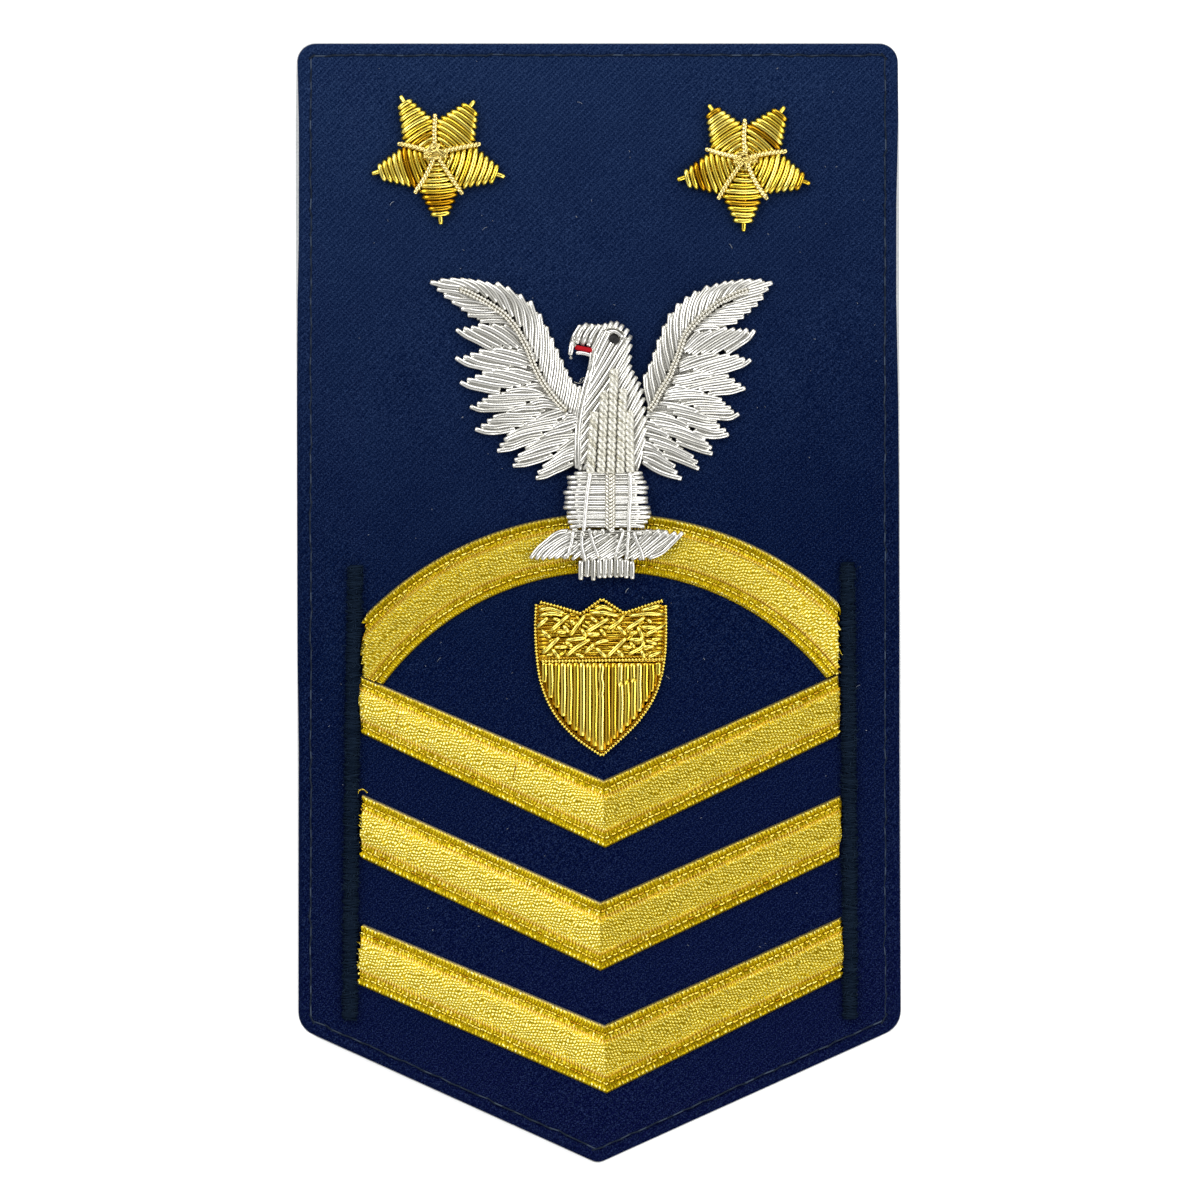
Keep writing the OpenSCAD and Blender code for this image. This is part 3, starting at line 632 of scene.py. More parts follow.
def panel_skin(box, sides, base, height, columns, count=260):
    """Rings of a sheet: height() gives the top's level at places and distances from the edge."""
    y, left, right = panel_outline(box, sides, count)
    outline = np.vstack([np.column_stack([right, y]), np.column_stack([left, y])[::-1]])
    even = np.linspace(-1, 1, columns)
    share = np.sin(even * math.pi / 2) * 0.35 + even * 0.65
    share = share / abs(share).max() * 0.5 + 0.5
    x = left[:, None] + (right - left)[:, None] * share
    plan = np.stack([x, np.repeat(y[:, None], columns, 1)], 2)
    flat = plan.reshape(-1, 2)
    d = np.concatenate([edge_distance(part, outline) for part in np.array_split(flat, 40)])
    top = np.column_stack([flat, height(flat, d)]).reshape(len(y), columns, 3)
    foot = np.full(len(y), base)
    low = np.stack([np.column_stack([right, y, foot]), np.column_stack([left, y, foot])], 1)
    return np.concatenate([top, low], 1)


def hem_places():
    """Ends of the hem stitches in plan, all the way round."""
    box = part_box("cloth_panel")
    half = (box[1][0] - box[0][0]) / 2 - HEM_INSET
    top = box[1][1] - HEM_INSET
    point = box[0][1] + HEM_INSET / math.cos(PANEL_SLOPE)
    side = point + half * math.tan(PANEL_SLOPE)
    corners = np.array(
        [[-half, side], [-half, top], [half, top], [half, side], [0, point], [-half, side]]
    )
    stitches = []
    for a, b in zip(corners[:-1], corners[1:]):
        run = np.linalg.norm(b - a)
        count = int(run / HEM_STEP)
        for k in range(count):
            start = a + (b - a) * (k + 0.1) / count
            end = a + (b - a) * (k + 0.1 + rng.uniform(*HEM_STEP_SHARE)) / count
            wander = rng.normal(0, 0.07 * MM, 4).reshape(2, 2)
            stitches.append((start + wander[0], end + wander[1]))
    return stitches


def cloth_height(places, d):
    """The twill's top: a rolled edge, a puffed hem, the stitch line's groove and slow waves."""
    full = CLOTH_TOP - 0.12 * MM
    roll = 0.9 * MM
    z = CLOTH_BASE + (full - CLOTH_BASE) * (0.35 + 0.65 * swell(d, roll))
    z = z + 0.12 * MM * ridge(d, 1.1 * MM, 0.55 * MM)
    x, y = places[:, 0], places[:, 1]
    beat = 0.5 + 0.5 * np.cos(2 * math.pi * (np.abs(y) + np.abs(x)) / HEM_STEP)
    z = z - (0.30 + 0.16 * beat) * MM * ridge(d, HEM_INSET, 0.26 * MM)
    inner = np.clip((d - 3 * MM) / (4 * MM), 0, 1)
    waves = np.sin(x * 95 + np.sin(y * 60) * 1.5) * np.sin(y * 70 + 1.3) * 0.05 * MM
    return z + waves * inner


def cloth_panel():
    """The navy cloth, with the stitches of its hem and near-black thread sunk between them as painted
    shade along the stitch line.
    """
    skin = panel_skin(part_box("cloth_panel"), CLOTH_SIDES, CLOTH_BASE, cloth_height, 150)
    mesh = ringed_mesh("navy_cloth", [skin], skin.shape[1])
    piece = make_piece("navy_cloth", mesh, TWILL, ["cloth_panel"])
    hem = Bundle(6)
    seats = hem_places()
    # Painted shade: near-black thread sunk in the gaps between stitches, for the dark stitch line
    for (_, a), (b, _) in zip(seats, seats[1:] + seats[:1]):
        gap = smooth([a + (a - b) * 0.9, b + (b - a) * 0.9], 5)
        hem.lay(at_level(gap, CLOTH_TOP - 0.24 * MM), 0.14 * MM, 0.0)
    for a, b in seats:
        line = smooth([a, b], 5)
        dip = np.array([-0.20, -0.03, 0.0, -0.03, -0.20]) * MM
        hem.lay(at_level(line, CLOTH_TOP - 0.20 * MM + dip), 0.12 * MM, rng.uniform(0.15, 1.0))
    stitches = hem.piece("hem_stitches", HEM_THREAD, "dark_thread")


def backing_height(places, d):
    """The felt's top, pressed down a little at the cut edge."""
    return np.full(len(places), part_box("backing_sheet")[1][2]) - 0.08 * MM * ridge(d, 0, 0.2 * MM)


def backing_sheet():
    """The pale felt that stiffens the cloth."""
    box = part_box("backing_sheet")
    skin = panel_skin(box, BACKING_SIDES, box[0][2], backing_height, 24, 180)
    mesh = ringed_mesh("backing_felt", [skin], skin.shape[1])
    piece = make_piece("backing_felt", mesh, FELT, ["backing_sheet"])


def lint():
    """Small loose fibres and specks on the cloth."""
    bundle = Bundle(5)
    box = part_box("cloth_panel")
    margin, over_tip = 3 * MM, 26 * MM
    for _ in range(150):
        x = rng.uniform(box[0][0] + margin, box[1][0] - margin)
        y = rng.uniform(box[0][1] + over_tip, box[1][1] - margin)
        turn, length = rng.uniform(0, FULL_TURN), rng.choice([0.15, 0.3, 0.9], p=[0.6, 0.3, 0.1]) * MM
        start = np.array([x, y])
        end = start + length * np.array([math.cos(turn), math.sin(turn)])
        line = bowed(start, end, rng.uniform(-0.2, 0.2), 4)
        bundle.lay(at_level(line, CLOTH_TOP + 0.02 * MM), rng.uniform(0.03, 0.055) * MM)
    bundle.piece("lint", LINT, "navy_twill")


# LACE

LACE_HEIGHT = LACE_TOP - ON_CLOTH
# Rows of points across the lace, and how far its raw ends stick out
LACE_POINTS = 39
RAW_END = 0.24 * MM
# Shares of the width: the woven ground starts here, and the two rows of dots run in the selvedge
GROUND_EDGE = 0.235
OUTER_DOTS = 0.045
INNER_DOTS = 0.195
# Stitches that hold the lace down: where they run across it, their step and radius
STITCH_ROWS = (0.145, 0.855)
STITCH_STEP = 1.15 * MM
STITCH_RADIUS = 0.17 * MM


def lace_profile(t):
    """Height share of the lace across its width: rolled edges, stitched grooves, padded middle."""
    edge = np.minimum(t, 1 - t)
    shares = [0, 0.012, 0.045, 0.09, 0.125, 0.16, 0.195, 0.235, 0.30, 0.40, 0.5]
    levels = [0.02, 0.36, 0.55, 0.50, 0.42, 0.42, 0.48, 0.46, 0.78, 0.96, 1.0]
    return np.interp(edge, shares, levels)


def lace_relief(s, t, width):
    """Ribs of the weave at a run s and a share t of the width, from 0 in a gap to 1 on a rib."""
    edge = np.minimum(t, 1 - t)
    a = t * width
    sway = 2.2 * np.sin(a / (0.7 * MM) + 2.0 * np.sin(s / (2.3 * MM)))
    ribs = 0.5 + 0.5 * np.sin(2 * math.pi * s / LACE_RIB + sway)
    step = 0.74 * MM
    count = np.floor(s / step)
    lively = 0.15 + 0.85 * (np.sin(count * 12.9898 + np.floor(t * 8) * 3.1) * 43.7 % 1)
    dots = np.sin(math.pi * (s / step % 1)) ** 2 * lively
    outer = ridge(edge, OUTER_DOTS, 0.024)
    inner = ridge(edge, INNER_DOTS, 0.026) * 0.8
    return np.where(edge < GROUND_EDGE, np.clip(dots * (outer + inner), 0, 1), ribs)


def raw_ends():
    """How far each row of points stands out at the left and at the right raw end."""
    rows = np.arange(LACE_POINTS)
    return [(rng.normal(0, 1, LACE_POINTS) + 0.8 * np.sin(rows * 1.9)) * RAW_END for _ in range(2)]


def lace_piece(name, node, place, run, columns, shade=0.0):
    """Lays lace with its stitches. place() maps shares of its run and of its width to plan points,
    the way along it and its width. run is its length, and shade adds painted shade to it."""
    s = np.linspace(0, 1, columns)
    t = np.linspace(0, 1, LACE_POINTS)
    s, t = np.meshgrid(s, t, indexing="ij")
    edge = np.minimum(t, 1 - t)
    plan, along, width = place(s, t)
    relief = lace_relief(along, t, width)
    soft = np.sin(along / (7 * MM)) * np.sin(t * 9 + along / (11 * MM))
    deep = np.where(edge < GROUND_EDGE, 0.22, 0.04) * MM
    z = ON_CLOTH + LACE_HEIGHT * lace_profile(t) * (0.93 + 0.03 * soft) + deep * (relief - 0.5)
    z = np.where((t == 0) | (t == 1), ON_CLOTH + 0.05 * MM, np.minimum(z, LACE_TOP + 0.04 * MM))
    top = np.concatenate([plan, z[..., None]], 2)
    low = np.stack([top[:, -1], top[:, 0]], 1)
    low[..., 2] = ON_CLOTH
    skin = np.concatenate([top, low], 1)
    mesh = ringed_mesh(name, [skin], skin.shape[1])
    pad = [(0, 0), (0, 2)]
    add_attribute(mesh, "along", np.pad(along / MM, pad))
    add_attribute(mesh, "across", np.pad(t * width / MM, pad))
    add_attribute(mesh, "relief", np.pad(relief, pad))
    add_attribute(mesh, "crown", np.pad(np.clip((edge - 0.225) / 0.09, 0, 1), pad))
    add_attribute(mesh, "selvedge", np.pad(np.clip(1.4 - t / 0.024, 0, 1), pad))
    run_x, run_y = np.gradient(plan[..., 0], axis=0), np.gradient(plan[..., 1], axis=0)
    slope = run_y / np.where(np.abs(run_x) < 1e-9, 1e-9, run_x)
    # Painted shade by the way the lace leans: arms that slope one way come out darker and more orange
    add_attribute(mesh, "painted_lean_shade", np.pad(np.clip(0.5 + slope * 1.1 + shade, 0, 1), pad))
    make_piece(name, mesh, LACE, [node])
    stitches = Bundle(6)
    arch = np.sin(np.linspace(0, math.pi, 7)) * 0.12 * MM
    for row in STITCH_ROWS:
        count = int(run / STITCH_STEP)
        for k in range(count):
            share = (k + np.linspace(0.12, rng.uniform(0.6, 0.95), 7)) / count
            line, _, _ = place(share[:, None], np.full((7, 1), row + rng.normal(0, 0.004)))
            sunk = rng.uniform(-0.14, 0.04) * MM
            z = ON_CLOTH + LACE_HEIGHT * 0.42 + arch + sunk
            stitches.lay(at_level(line[:, 0], z), STITCH_RADIUS)
    stitches.piece(name + "_stitches", GOLD, "gold_lace")


# Length of a step along the lace between two columns of points, in mm
LACE_COLUMN = 0.085
# Chevrons: upper edge at the left end, the apex and the right end, then the lower edge, in mm
CHEVRONS = {
    "upper_chevron": [
        (-40.0, -12.39), (0.96, -29.99), (40.52, -12.06), (-39.8, -22.21), (1.18, -41.5), (40.78, -22.46),
    ],
    "middle_chevron": [
        (-39.9, -32.36), (0.41, -50.63), (40.7, -32.7), (-40.2, -43.12), (0.41, -62.31), (40.6, -43.12),
    ],
    "lower_chevron": [
        (-40.1, -54.19), (1.1, -71.44), (41.2, -53.12), (-40.7, -64.51), (1.44, -83.03), (41.4, -63.27),
    ],
}
CHEVRON_WIDTH = 9.8 * MM


def chevron_map(corners):
    """The map of a chevron from shares of its run and width to places."""
    p = np.array(corners) * MM
    ends = raw_ends()

    def place(s, t):
        left = s < 0.5
        u = np.where(left, s * 2, 2 - s * 2)[..., None]
        end_top = np.where(left[..., None], p[0], p[2])
        end_low = np.where(left[..., None], p[3], p[5])
        end = end_top + (end_low - end_top) * t[..., None]
        apex = p[1] + (p[4] - p[1]) * t[..., None]
        row, rows = t * (LACE_POINTS - 1), range(LACE_POINTS)
        jut = np.where(left, np.interp(row, rows, ends[0]), np.interp(row, rows, ends[1]))
        run_dir = (apex - end) / np.linalg.norm(apex - end, axis=2)[..., None]
        where = end + (apex - end) * u
        where = where + run_dir * (jut * np.clip(1 - u[..., 0] * 40, 0, 1))[..., None]
        arm_dir = np.where(left[..., None], (p[1] - p[0]), (p[2] - p[1]))
        arm_dir = arm_dir / np.linalg.norm(arm_dir, axis=2)[..., None]
        along = ((where - p[1]) * arm_dir).sum(2)
        return where, along, CHEVRON_WIDTH

    return place


def chevrons():
    """The three mitred chevrons of lace."""
    for name, corners in CHEVRONS.items():
        p = np.array(corners) * MM
        run = np.linalg.norm(p[1] - p[0]) + np.linalg.norm(p[2] - p[1])
        lace_piece(name + "_lace", name, chevron_map(corners), run, int(run / (LACE_COLUMN * MM)))


# Rocker: centres and radii of its outer and inner edge, and the sides at which it is cut
ROCKER_OUT = (np.array([1.74, -42.45]) * MM, 57.66 * MM)
ROCKER_IN = (np.array([1.52, -41.87]) * MM, 47.1 * MM)
ROCKER_ENDS = (-39.6 * MM, 40.75 * MM)
# Its width, the radius of its middle line and that line's length in mm, and how much more painted shade it
# gets
ROCKER_WIDTH = 10.2 * MM
ROCKER_MIDDLE = 52 * MM
ROCKER_RUN = 96
ROCKER_SHADE = 0.6


def rocker_map():
    """The map of the rocker from shares of its run and width to places."""
    ends = raw_ends()
    corners = np.array(CHEVRONS["upper_chevron"]) * MM

    def place(s, t):
        centre = ROCKER_OUT[0] + (ROCKER_IN[0] - ROCKER_OUT[0]) * t[..., None]
        radius = ROCKER_OUT[1] + (ROCKER_IN[1] - ROCKER_OUT[1]) * t
        row, rows = t * (LACE_POINTS - 1), range(LACE_POINTS)
        left = ROCKER_ENDS[0] + np.interp(row, rows, ends[0])
        right = ROCKER_ENDS[1] + np.interp(row, rows, ends[1])
        start = np.pi - np.arccos(np.clip((centre[..., 0] - left) / radius, -1, 1))
        stop = np.arccos(np.clip((right - centre[..., 0]) / radius, -1, 1))
        angle = start + (stop - start) * s
        x = centre[..., 0] + radius * np.cos(angle)
        y = centre[..., 1] + radius * np.sin(angle)
        seam = np.interp(x, corners[:3, 0], corners[:3, 1]) + 0.15 * MM
        along = (np.pi / 2 - angle) * ROCKER_MIDDLE
        return np.stack([x, np.maximum(y, seam)], 2), along, ROCKER_WIDTH

    return place


def rocker():
    """The arched lace over the chevrons."""
    columns = int(ROCKER_RUN / LACE_COLUMN)
    lace_piece("rocker_braid", "rocker_lace", rocker_map(), ROCKER_RUN * MM, columns, ROCKER_SHADE)


# Frayed gold thread over the left end of the middle chevron, and two dark slits in the lace
FRAYED_THREAD = (358.3, 793, 359.5, 790, 363.5, 789.3, 367.5, 792.5)
LACE_SLITS = ((399.3, 713, 396.4, 724), (516.4, 763, 512.9, 781))


def loose_loop():
    """The frayed gold thread and the slits."""
    bundle = Bundle(6)
    line = smooth(at(*FRAYED_THREAD), 16)
    bundle.lay(at_level(line, ON_CLOTH + 0.5 * MM), 0.12 * MM, 0.25)
    for slit in LACE_SLITS:
        bundle.lay(at_level(smooth(at(*slit), 8), LACE_TOP - 0.06 * MM), 0.07 * MM, 0.0)
    bundle.piece("loose_lace_thread", GOLD, "gold_lace")


# END BARS

# Middle line of each bar, top first
BARS = {
    "left_end_bar": (355.5, 566, 353, 700, 350, 1019),
    "right_end_bar": (847.5, 563, 848.5, 700, 850, 1018),
}
# Half a bar's width, its height, the step from one satin stitch to the next, and its loose fuzz
BAR_HALF = 1.18 * MM
BAR_HEIGHT = 0.95 * MM
SATIN_STEP = 0.25 * MM
BAR_FUZZ = 480


def end_bars():
    """Rows of satin stitches over a dark core, with fuzz standing off them."""
    for name, places in BARS.items():
        bundle = Bundle(6)
        spine = smooth(at(*places), 40)
        length = np.linalg.norm(np.diff(spine, axis=0), axis=1).sum()
        count = int(length / SATIN_STEP)
        u = np.linspace(-1, 1, 7)
        dome = BAR_HEIGHT * np.sqrt(np.clip(1 - np.abs(u) ** 2.4, 0, 1))
        for k in range(count):
            c = pick(spine, (k + 0.5) / count)
            half = BAR_HALF + rng.normal(0, 0.13 * MM)
            tilt = rng.normal(0.0, 0.16 * MM)
            line = c + np.column_stack([u * half, u * tilt])
            z = ON_CLOTH + 0.08 * MM + dome + rng.normal(0, 0.03) * MM
            bundle.lay(at_level(line, z), 0.15 * MM, rng.uniform(0.0, 0.45))
        for off in (-0.55, 0, 0.55):
            core = at_level(spine + [off * MM, 0], ON_CLOTH + (0.4 if off else 0.5) * MM)
            bundle.lay(core, 0.45 * MM, 0.0)
        for _ in range(BAR_FUZZ):
            c = pick(spine, rng.random()) + [rng.uniform(-1, 1) * 1.3 * MM, 0]
            end = c + rng.normal(0, 0.38 * MM, 2)
            middle = abs(c[0] - np.interp(c[1], spine[::-1, 1], spine[::-1, 0])) / BAR_HALF
            z = ON_CLOTH + 0.3 * MM + BAR_HEIGHT * math.sqrt(max(0.0, 1 - middle**2.4))
            hair = bowed(c, end, rng.uniform(-0.3, 0.3), 4)
            bundle.lay(at_level(hair, z), 0.05 * MM, rng.uniform(0.2, 1.0))
        bundle.piece(name + "_satin", DARK_THREAD, "dark_thread", name)


# WIRE FAMILIES

# Painted shade: the tint of the darker wires that lie in the gaps under others
GAP_PAINTED_SHADE = 0.16


def longer(line, at_end, reach):
    """The same line with its first or last point moved out by that reach, or in if it is negative."""
    line = line.copy()
    tip, next_to_it = (-1, -2) if at_end else (0, 1)
    run = line[tip] - line[next_to_it]
    line[tip] += run / np.linalg.norm(run) * reach
    return line


def lay_side_by_side(bundle, lines, radius, level, waver, fill=True, tint=None, groove=0.0):
    """Lays wires along neighbouring lines, and darker ones in the gaps below them as painted shade.
    level gives the height of the wires' middle at their places, with t running from 0 to 1 along them."""
    t = np.linspace(0, 1, len(lines[0]))
    lines = [wavy(line, waver) for line in lines]
    for line in lines:
        jitter = rng.normal(0, 0.03 * MM)
        shade = rng.uniform(0.25, 1.0) if tint is None else tint * rng.uniform(0.6, 1.4)
        z = level(line, t) + jitter
        bundle.lay(at_level(line, z), radius * rng.uniform(0.96, 1.03), shade, groove=groove)
    # Painted shade: darker wires in the gaps
    if fill:
        for a, b in zip(lines[:-1], lines[1:]):
            line = (a + b)[1:-1] / 2
            bundle.lay(at_level(line, level(line, t[1:-1]) - radius * 0.6), radius * 0.9, GAP_PAINTED_SHADE)


def slope_level(low, high):
    """Wires lie high at their roots and come down to the cloth at their tips."""
    def level(line, t):
        return low + (high - low) * (1 - t**2) ** 0.7
    return level


def rim_level(rim, low, high, reach):
    """Wires lie low along a rim, and rise over that reach to the padding's top."""
    def level(line, t):
        return low + (high - low) * swell(edge_distance(line, rim), reach)
    return level


# WINGS

# Radius of the wires of the wings, and the depth of their groove as a share of it
WIRE = 0.44 * MM
WING_GROOVE = 0.22
# Plume wires: tip, a place on the way, root
LEFT_PLUME = [
    (431.5, 282.5, 446, 286.5, 459, 288), (441.3, 280.3, 455, 284, 469, 289),
    (451, 279.8, 464, 283.5, 476, 290.5), (461, 280, 475, 285.5, 485, 295),
    (468.5, 280.6, 483, 287.5, 494, 300), (477.5, 281.5, 492, 290.5, 503, 307.5),
    (486.3, 283.3, 502, 295, 511, 314), (496.9, 283.8, 512, 299, 519, 324),
    (507, 288, 521.5, 307, 526, 336), (520, 295.5, 530.5, 318, 531, 348),
    (530.6, 302, 537, 326, 536, 358), (539.5, 315, 542.5, 338, 541, 368),
    (546.5, 327.5, 547.6, 352, 544.5, 379), (552, 339, 552.2, 361, 548.5, 387),
    (556.8, 350, 556.8, 369, 552.5, 392), (561.8, 360.5, 560.8, 377, 557, 397),
    (566.2, 370.5, 565, 384, 561.5, 401), (570, 378.5, 569, 390, 566, 405),
    (574.5, 385, 573.2, 396, 570.5, 409), (579.8, 387, 578, 399, 575, 411),
]
# Feather wires, a feather to a group, outermost wire first: places from the tip to the root
LEFT_FEATHERS = [
    [
        (438, 289.5, 452, 292, 461, 294, 470, 298), (445, 296.5, 455, 299, 470, 300, 483, 303),
        (453, 302, 463, 305.5, 480, 307, 492, 307), (462, 309, 475, 311.5, 490, 311.5, 500, 311),
        (468.5, 315.5, 480, 316.5, 495, 316, 505, 316.5), (481, 322, 492, 321, 505, 322, 513, 325),
    ],
    [
        (457, 330, 465, 336, 478, 342.5, 492, 350), (464.5, 328.5, 474, 334.5, 487, 341, 500, 348),
        (472, 327.5, 482, 331.5, 495, 338, 509, 347), (479, 325.5, 490, 329, 502, 335.5, 516, 346),
        (493, 325.5, 502, 330, 512, 337, 521, 346), (505, 326, 513, 331, 520, 337, 526, 343),
    ],
    [
        (456.5, 358, 467, 364.5, 480, 368, 497, 371), (464.5, 357, 475, 361.5, 490, 365.5, 506, 368),
        (471, 354.5, 483, 357, 500, 361, 524, 366.5), (480, 351, 492, 354, 510, 358.5, 531, 365),
        (494, 350, 506, 352, 518, 355, 531, 360), (518, 351, 525, 352, 532, 354.5),
    ],
    [
        (461, 382.5, 470, 387, 482, 390, 497, 392.5), (468, 379.5, 480, 382.5, 495, 385, 510, 387),
        (476, 376.5, 488, 379, 502, 381.5, 518, 385), (483, 373, 496, 375, 510, 378, 528, 383),
        (493, 371, 507, 373, 521, 376.5, 538, 380), (508, 370, 517, 371, 528, 373.5, 538, 376),
    ],
    [
        (471, 406.5, 479, 410, 493, 410.5, 511, 409), (478, 404, 490, 405.5, 505, 405.5, 523, 404),
        (483, 400, 497, 401.5, 515, 400, 536, 398.5), (489, 397, 500, 396.5, 520, 396, 542, 395.5),
        (507, 391.5, 520, 390, 535, 391.5, 550, 397), (527, 386.5, 536, 385, 546, 387),
    ],
    [
        (476, 429.5, 486, 432.3, 498, 432.3, 512, 430), (482, 425.5, 494, 427.3, 506, 425.3, 521, 425),
        (488, 421.5, 500, 420.5, 515, 420, 533, 419.3), (494, 417.5, 505, 415, 520, 415, 538, 414),
        (512, 410.8, 522, 408.5, 534, 408, 545, 406, 559, 408),
        (531, 403.5, 540, 401, 552, 402, 561, 406),
    ],
    [
        (498, 451, 510, 449.5, 523, 444.5, 537, 440), (500.5, 445.5, 514, 443, 527, 438, 541, 436),
        (505, 440, 518, 434.8, 532, 431.3, 550, 428.5), (508, 436, 521, 430, 537, 426.3, 556, 423),
        (525, 424.5, 537, 422, 550, 419, 565, 414.5), (537, 418.5, 545, 415, 555, 412, 563, 409),
    ],
    [
        (513.5, 465.5, 525, 465, 538, 461.5, 550, 456.5),
        (515.5, 460.5, 528, 457.5, 541, 453.5, 557, 448.5), (519, 456, 530, 451.5, 545, 446, 566, 441),
        (526, 448.5, 538, 443.3, 553, 438.5, 575, 435), (545, 435.5, 555, 431.8, 565, 430, 576, 425.5),
        (554, 427.5, 563, 424, 570, 421.5, 577, 419.5), (563, 419.5, 568, 416.5, 575, 415.5),
    ],
    [
        (536.5, 478, 545, 476.5, 558, 471, 571, 465), (538.5, 473, 550, 468, 562, 461.8, 574, 457.3),
        (543.5, 467, 553, 461.3, 563, 456.3, 575, 452.5),
        (553, 458, 561, 452.8, 568, 449.3, 576, 446.8), (559, 449.5, 565, 445, 570, 441.3, 576, 438.5),
    ],
]
# Outline of the left wing's padding, closed behind the body
LEFT_RIM = (
    431.5, 282.5, 461, 279.5, 486, 283, 507, 288, 531, 302, 546, 327, 557, 350, 570, 378, 592, 390,
    592, 462, 571, 468, 536, 479, 550, 458, 513, 466, 525, 449.5, 497, 451.5, 509, 434, 475.5, 430,
    497, 414, 470.5, 407, 497, 393.5, 460.5, 382.5, 483, 371.5, 456, 358, 480, 349, 456.5, 330,
    480, 323, 437, 289,
)
RIGHT_PLUME = [
    (771.3, 283.3, 760, 287, 748, 290.5), (761, 280.8, 750, 285, 738, 293),
    (750.6, 280.8, 740, 285.5, 729, 297.5), (743, 281, 732, 287, 722, 301),
    (733, 282, 721, 290, 713, 306), (726, 282.8, 713, 293.5, 706, 312),
    (717.5, 285, 705, 297.5, 699, 318), (707.5, 287, 697, 302, 692.5, 324),
    (695.5, 292.3, 689.5, 308, 686.5, 331), (687, 297.6, 682.5, 315, 681.5, 339),
    (678, 304.5, 675.5, 322, 677.5, 349), (670, 314.5, 669.3, 335, 673.8, 360),
    (664, 327, 664.3, 347, 669.8, 369), (658.4, 340.8, 659.8, 360, 665.5, 380),
    (654.4, 353.3, 656, 371, 661, 389), (650, 365, 651.3, 382, 655.5, 399),
    (645, 375.5, 646.3, 391, 650.5, 407),
]
RIGHT_FEATHERS = [
    [
        (763, 289.5, 750, 292, 738, 295.5, 725, 301), (767.5, 289, 758, 292.8, 748, 296, 736, 299.8),
        (762.5, 298, 750, 301, 737, 303.5, 725, 307), (757, 305, 745, 306.5, 732, 308, 718, 310.5),
        (750, 311, 738, 312.5, 725, 313.3, 712, 314.5), (743, 317, 730, 318.5, 718, 318.8, 706, 319.3),
        (736.5, 322, 722, 323.5, 710, 323.3, 700, 324), (718, 328.5, 710, 327.5, 703, 327.5, 696, 330),
    ],
    [
        (754, 331, 749, 338, 740, 344.5, 729, 352), (747, 330, 740, 336.5, 728, 344, 715, 352),
        (741, 330.5, 730, 337, 717, 345, 704, 352.5), (734, 329.5, 722, 336, 708, 344.5, 695, 353.5),
        (726, 328.5, 714, 334.3, 702, 342.3, 690, 351.5),
        (711, 331.5, 702, 335.8, 694, 342.5, 686, 350), (699, 332, 692, 338, 685, 347),
    ],
    [
        (750, 360, 743, 365.5, 730, 369.8, 713, 374), (744, 359.5, 733, 363, 720, 367, 704, 371.8),
        (738, 356.5, 726, 360, 712, 364, 696, 370), (729, 355.5, 714, 359.3, 698, 364.3, 682, 370),
        (715, 353.5, 703, 356.3, 692, 360.3, 681, 365.5), (697, 356, 689, 358.5, 681, 361.3),
    ],
    [
        (744.5, 388.5, 735, 391.5, 723, 393.3, 711, 394.5),
        (740, 384.5, 728, 387, 715, 388.3, 702, 390), (734, 380.5, 720, 382.3, 706, 384.3, 688, 389.5),
        (728, 376, 714, 378.8, 700, 381.8, 678, 386), (712, 374.8, 698, 377, 686, 379.8, 675, 382.3),
        (702, 373, 692, 374.8, 684, 376.5, 675, 378),
    ],
    [
        (738.5, 414.5, 731, 418, 720, 418.3, 708, 417), (733, 412, 722, 412.5, 710, 412, 699, 411.8),
        (730, 407.5, 720, 408.3, 708, 407.5, 697, 406.8),
        (724.5, 404, 712, 403.3, 698, 402.5, 684, 404.3),
        (721, 400, 708, 397.5, 692, 396.8, 666, 398.8), (703, 393.5, 692, 392, 680, 392, 667, 393.8),
        (686, 389, 677, 388, 668, 390),
    ],
    [
        (728, 434.5, 718, 437, 706, 436.3, 696, 433), (725, 430, 714, 431.3, 703, 428.8, 690, 424.5),
        (719, 426, 708, 426.3, 697, 424, 680, 419.3), (716, 422, 705, 421, 693, 417.5, 676, 413.5),
        (709, 419.5, 700, 415.3, 688, 411.5, 670, 408.3),
        (697, 411.5, 688, 408.5, 677, 406, 662, 403.5),
    ],
    [
        (712, 453.5, 704, 452, 692, 448, 679, 443), (711, 448, 698, 443.8, 684, 439, 668, 433.8),
        (707.5, 444.5, 696, 439.8, 684, 434.8, 663, 429.8),
        (704.5, 440, 694, 434.8, 681, 430, 658, 425.5), (696.5, 436, 685, 429.8, 672, 425, 653, 421.3),
        (688, 426.5, 676, 421.3, 664, 418, 649, 416.3), (674, 418.5, 662, 415, 650, 412.8),
    ],
    [
        (698.5, 468.5, 688, 464.3, 677, 460.3, 665, 456),
        (697, 462.5, 685, 457.5, 672, 451.5, 656, 445.8),
        (692.5, 457.5, 683, 452.3, 672, 447, 652, 440.5), (678, 446, 668, 441, 657, 437, 645, 434.3),
        (668, 437, 660, 432, 652, 429.3, 645, 427.5), (665, 430.5, 657, 426, 647, 422.5),
    ],
    [
        (681, 478.5, 668, 475.5, 656, 470.5, 645, 463.5),
        (676.5, 473, 666, 468.3, 654, 462.3, 643, 457.8),
        (674.5, 466.5, 664, 461, 654, 455.3, 642, 452.8),
        (667, 460.5, 660, 453.5, 652, 449.3, 641, 446), (658, 450, 650, 445, 642, 442.8),
    ],
]
RIGHT_RIM = (
    772, 283, 743, 280.5, 718, 284, 695, 291.5, 678, 304, 664, 327, 654, 353, 645, 375, 626, 388,
    626, 462, 644, 465, 682, 479.5, 668, 461, 699.5, 469.5, 684, 447, 713, 454, 706, 438.5,
    729.5, 434.5, 711, 420, 739.5, 414.5, 722, 398, 745.5, 388.5, 729, 375, 751, 360, 731, 353.5,
    755, 330, 728, 327, 768.5, 288.5,
)
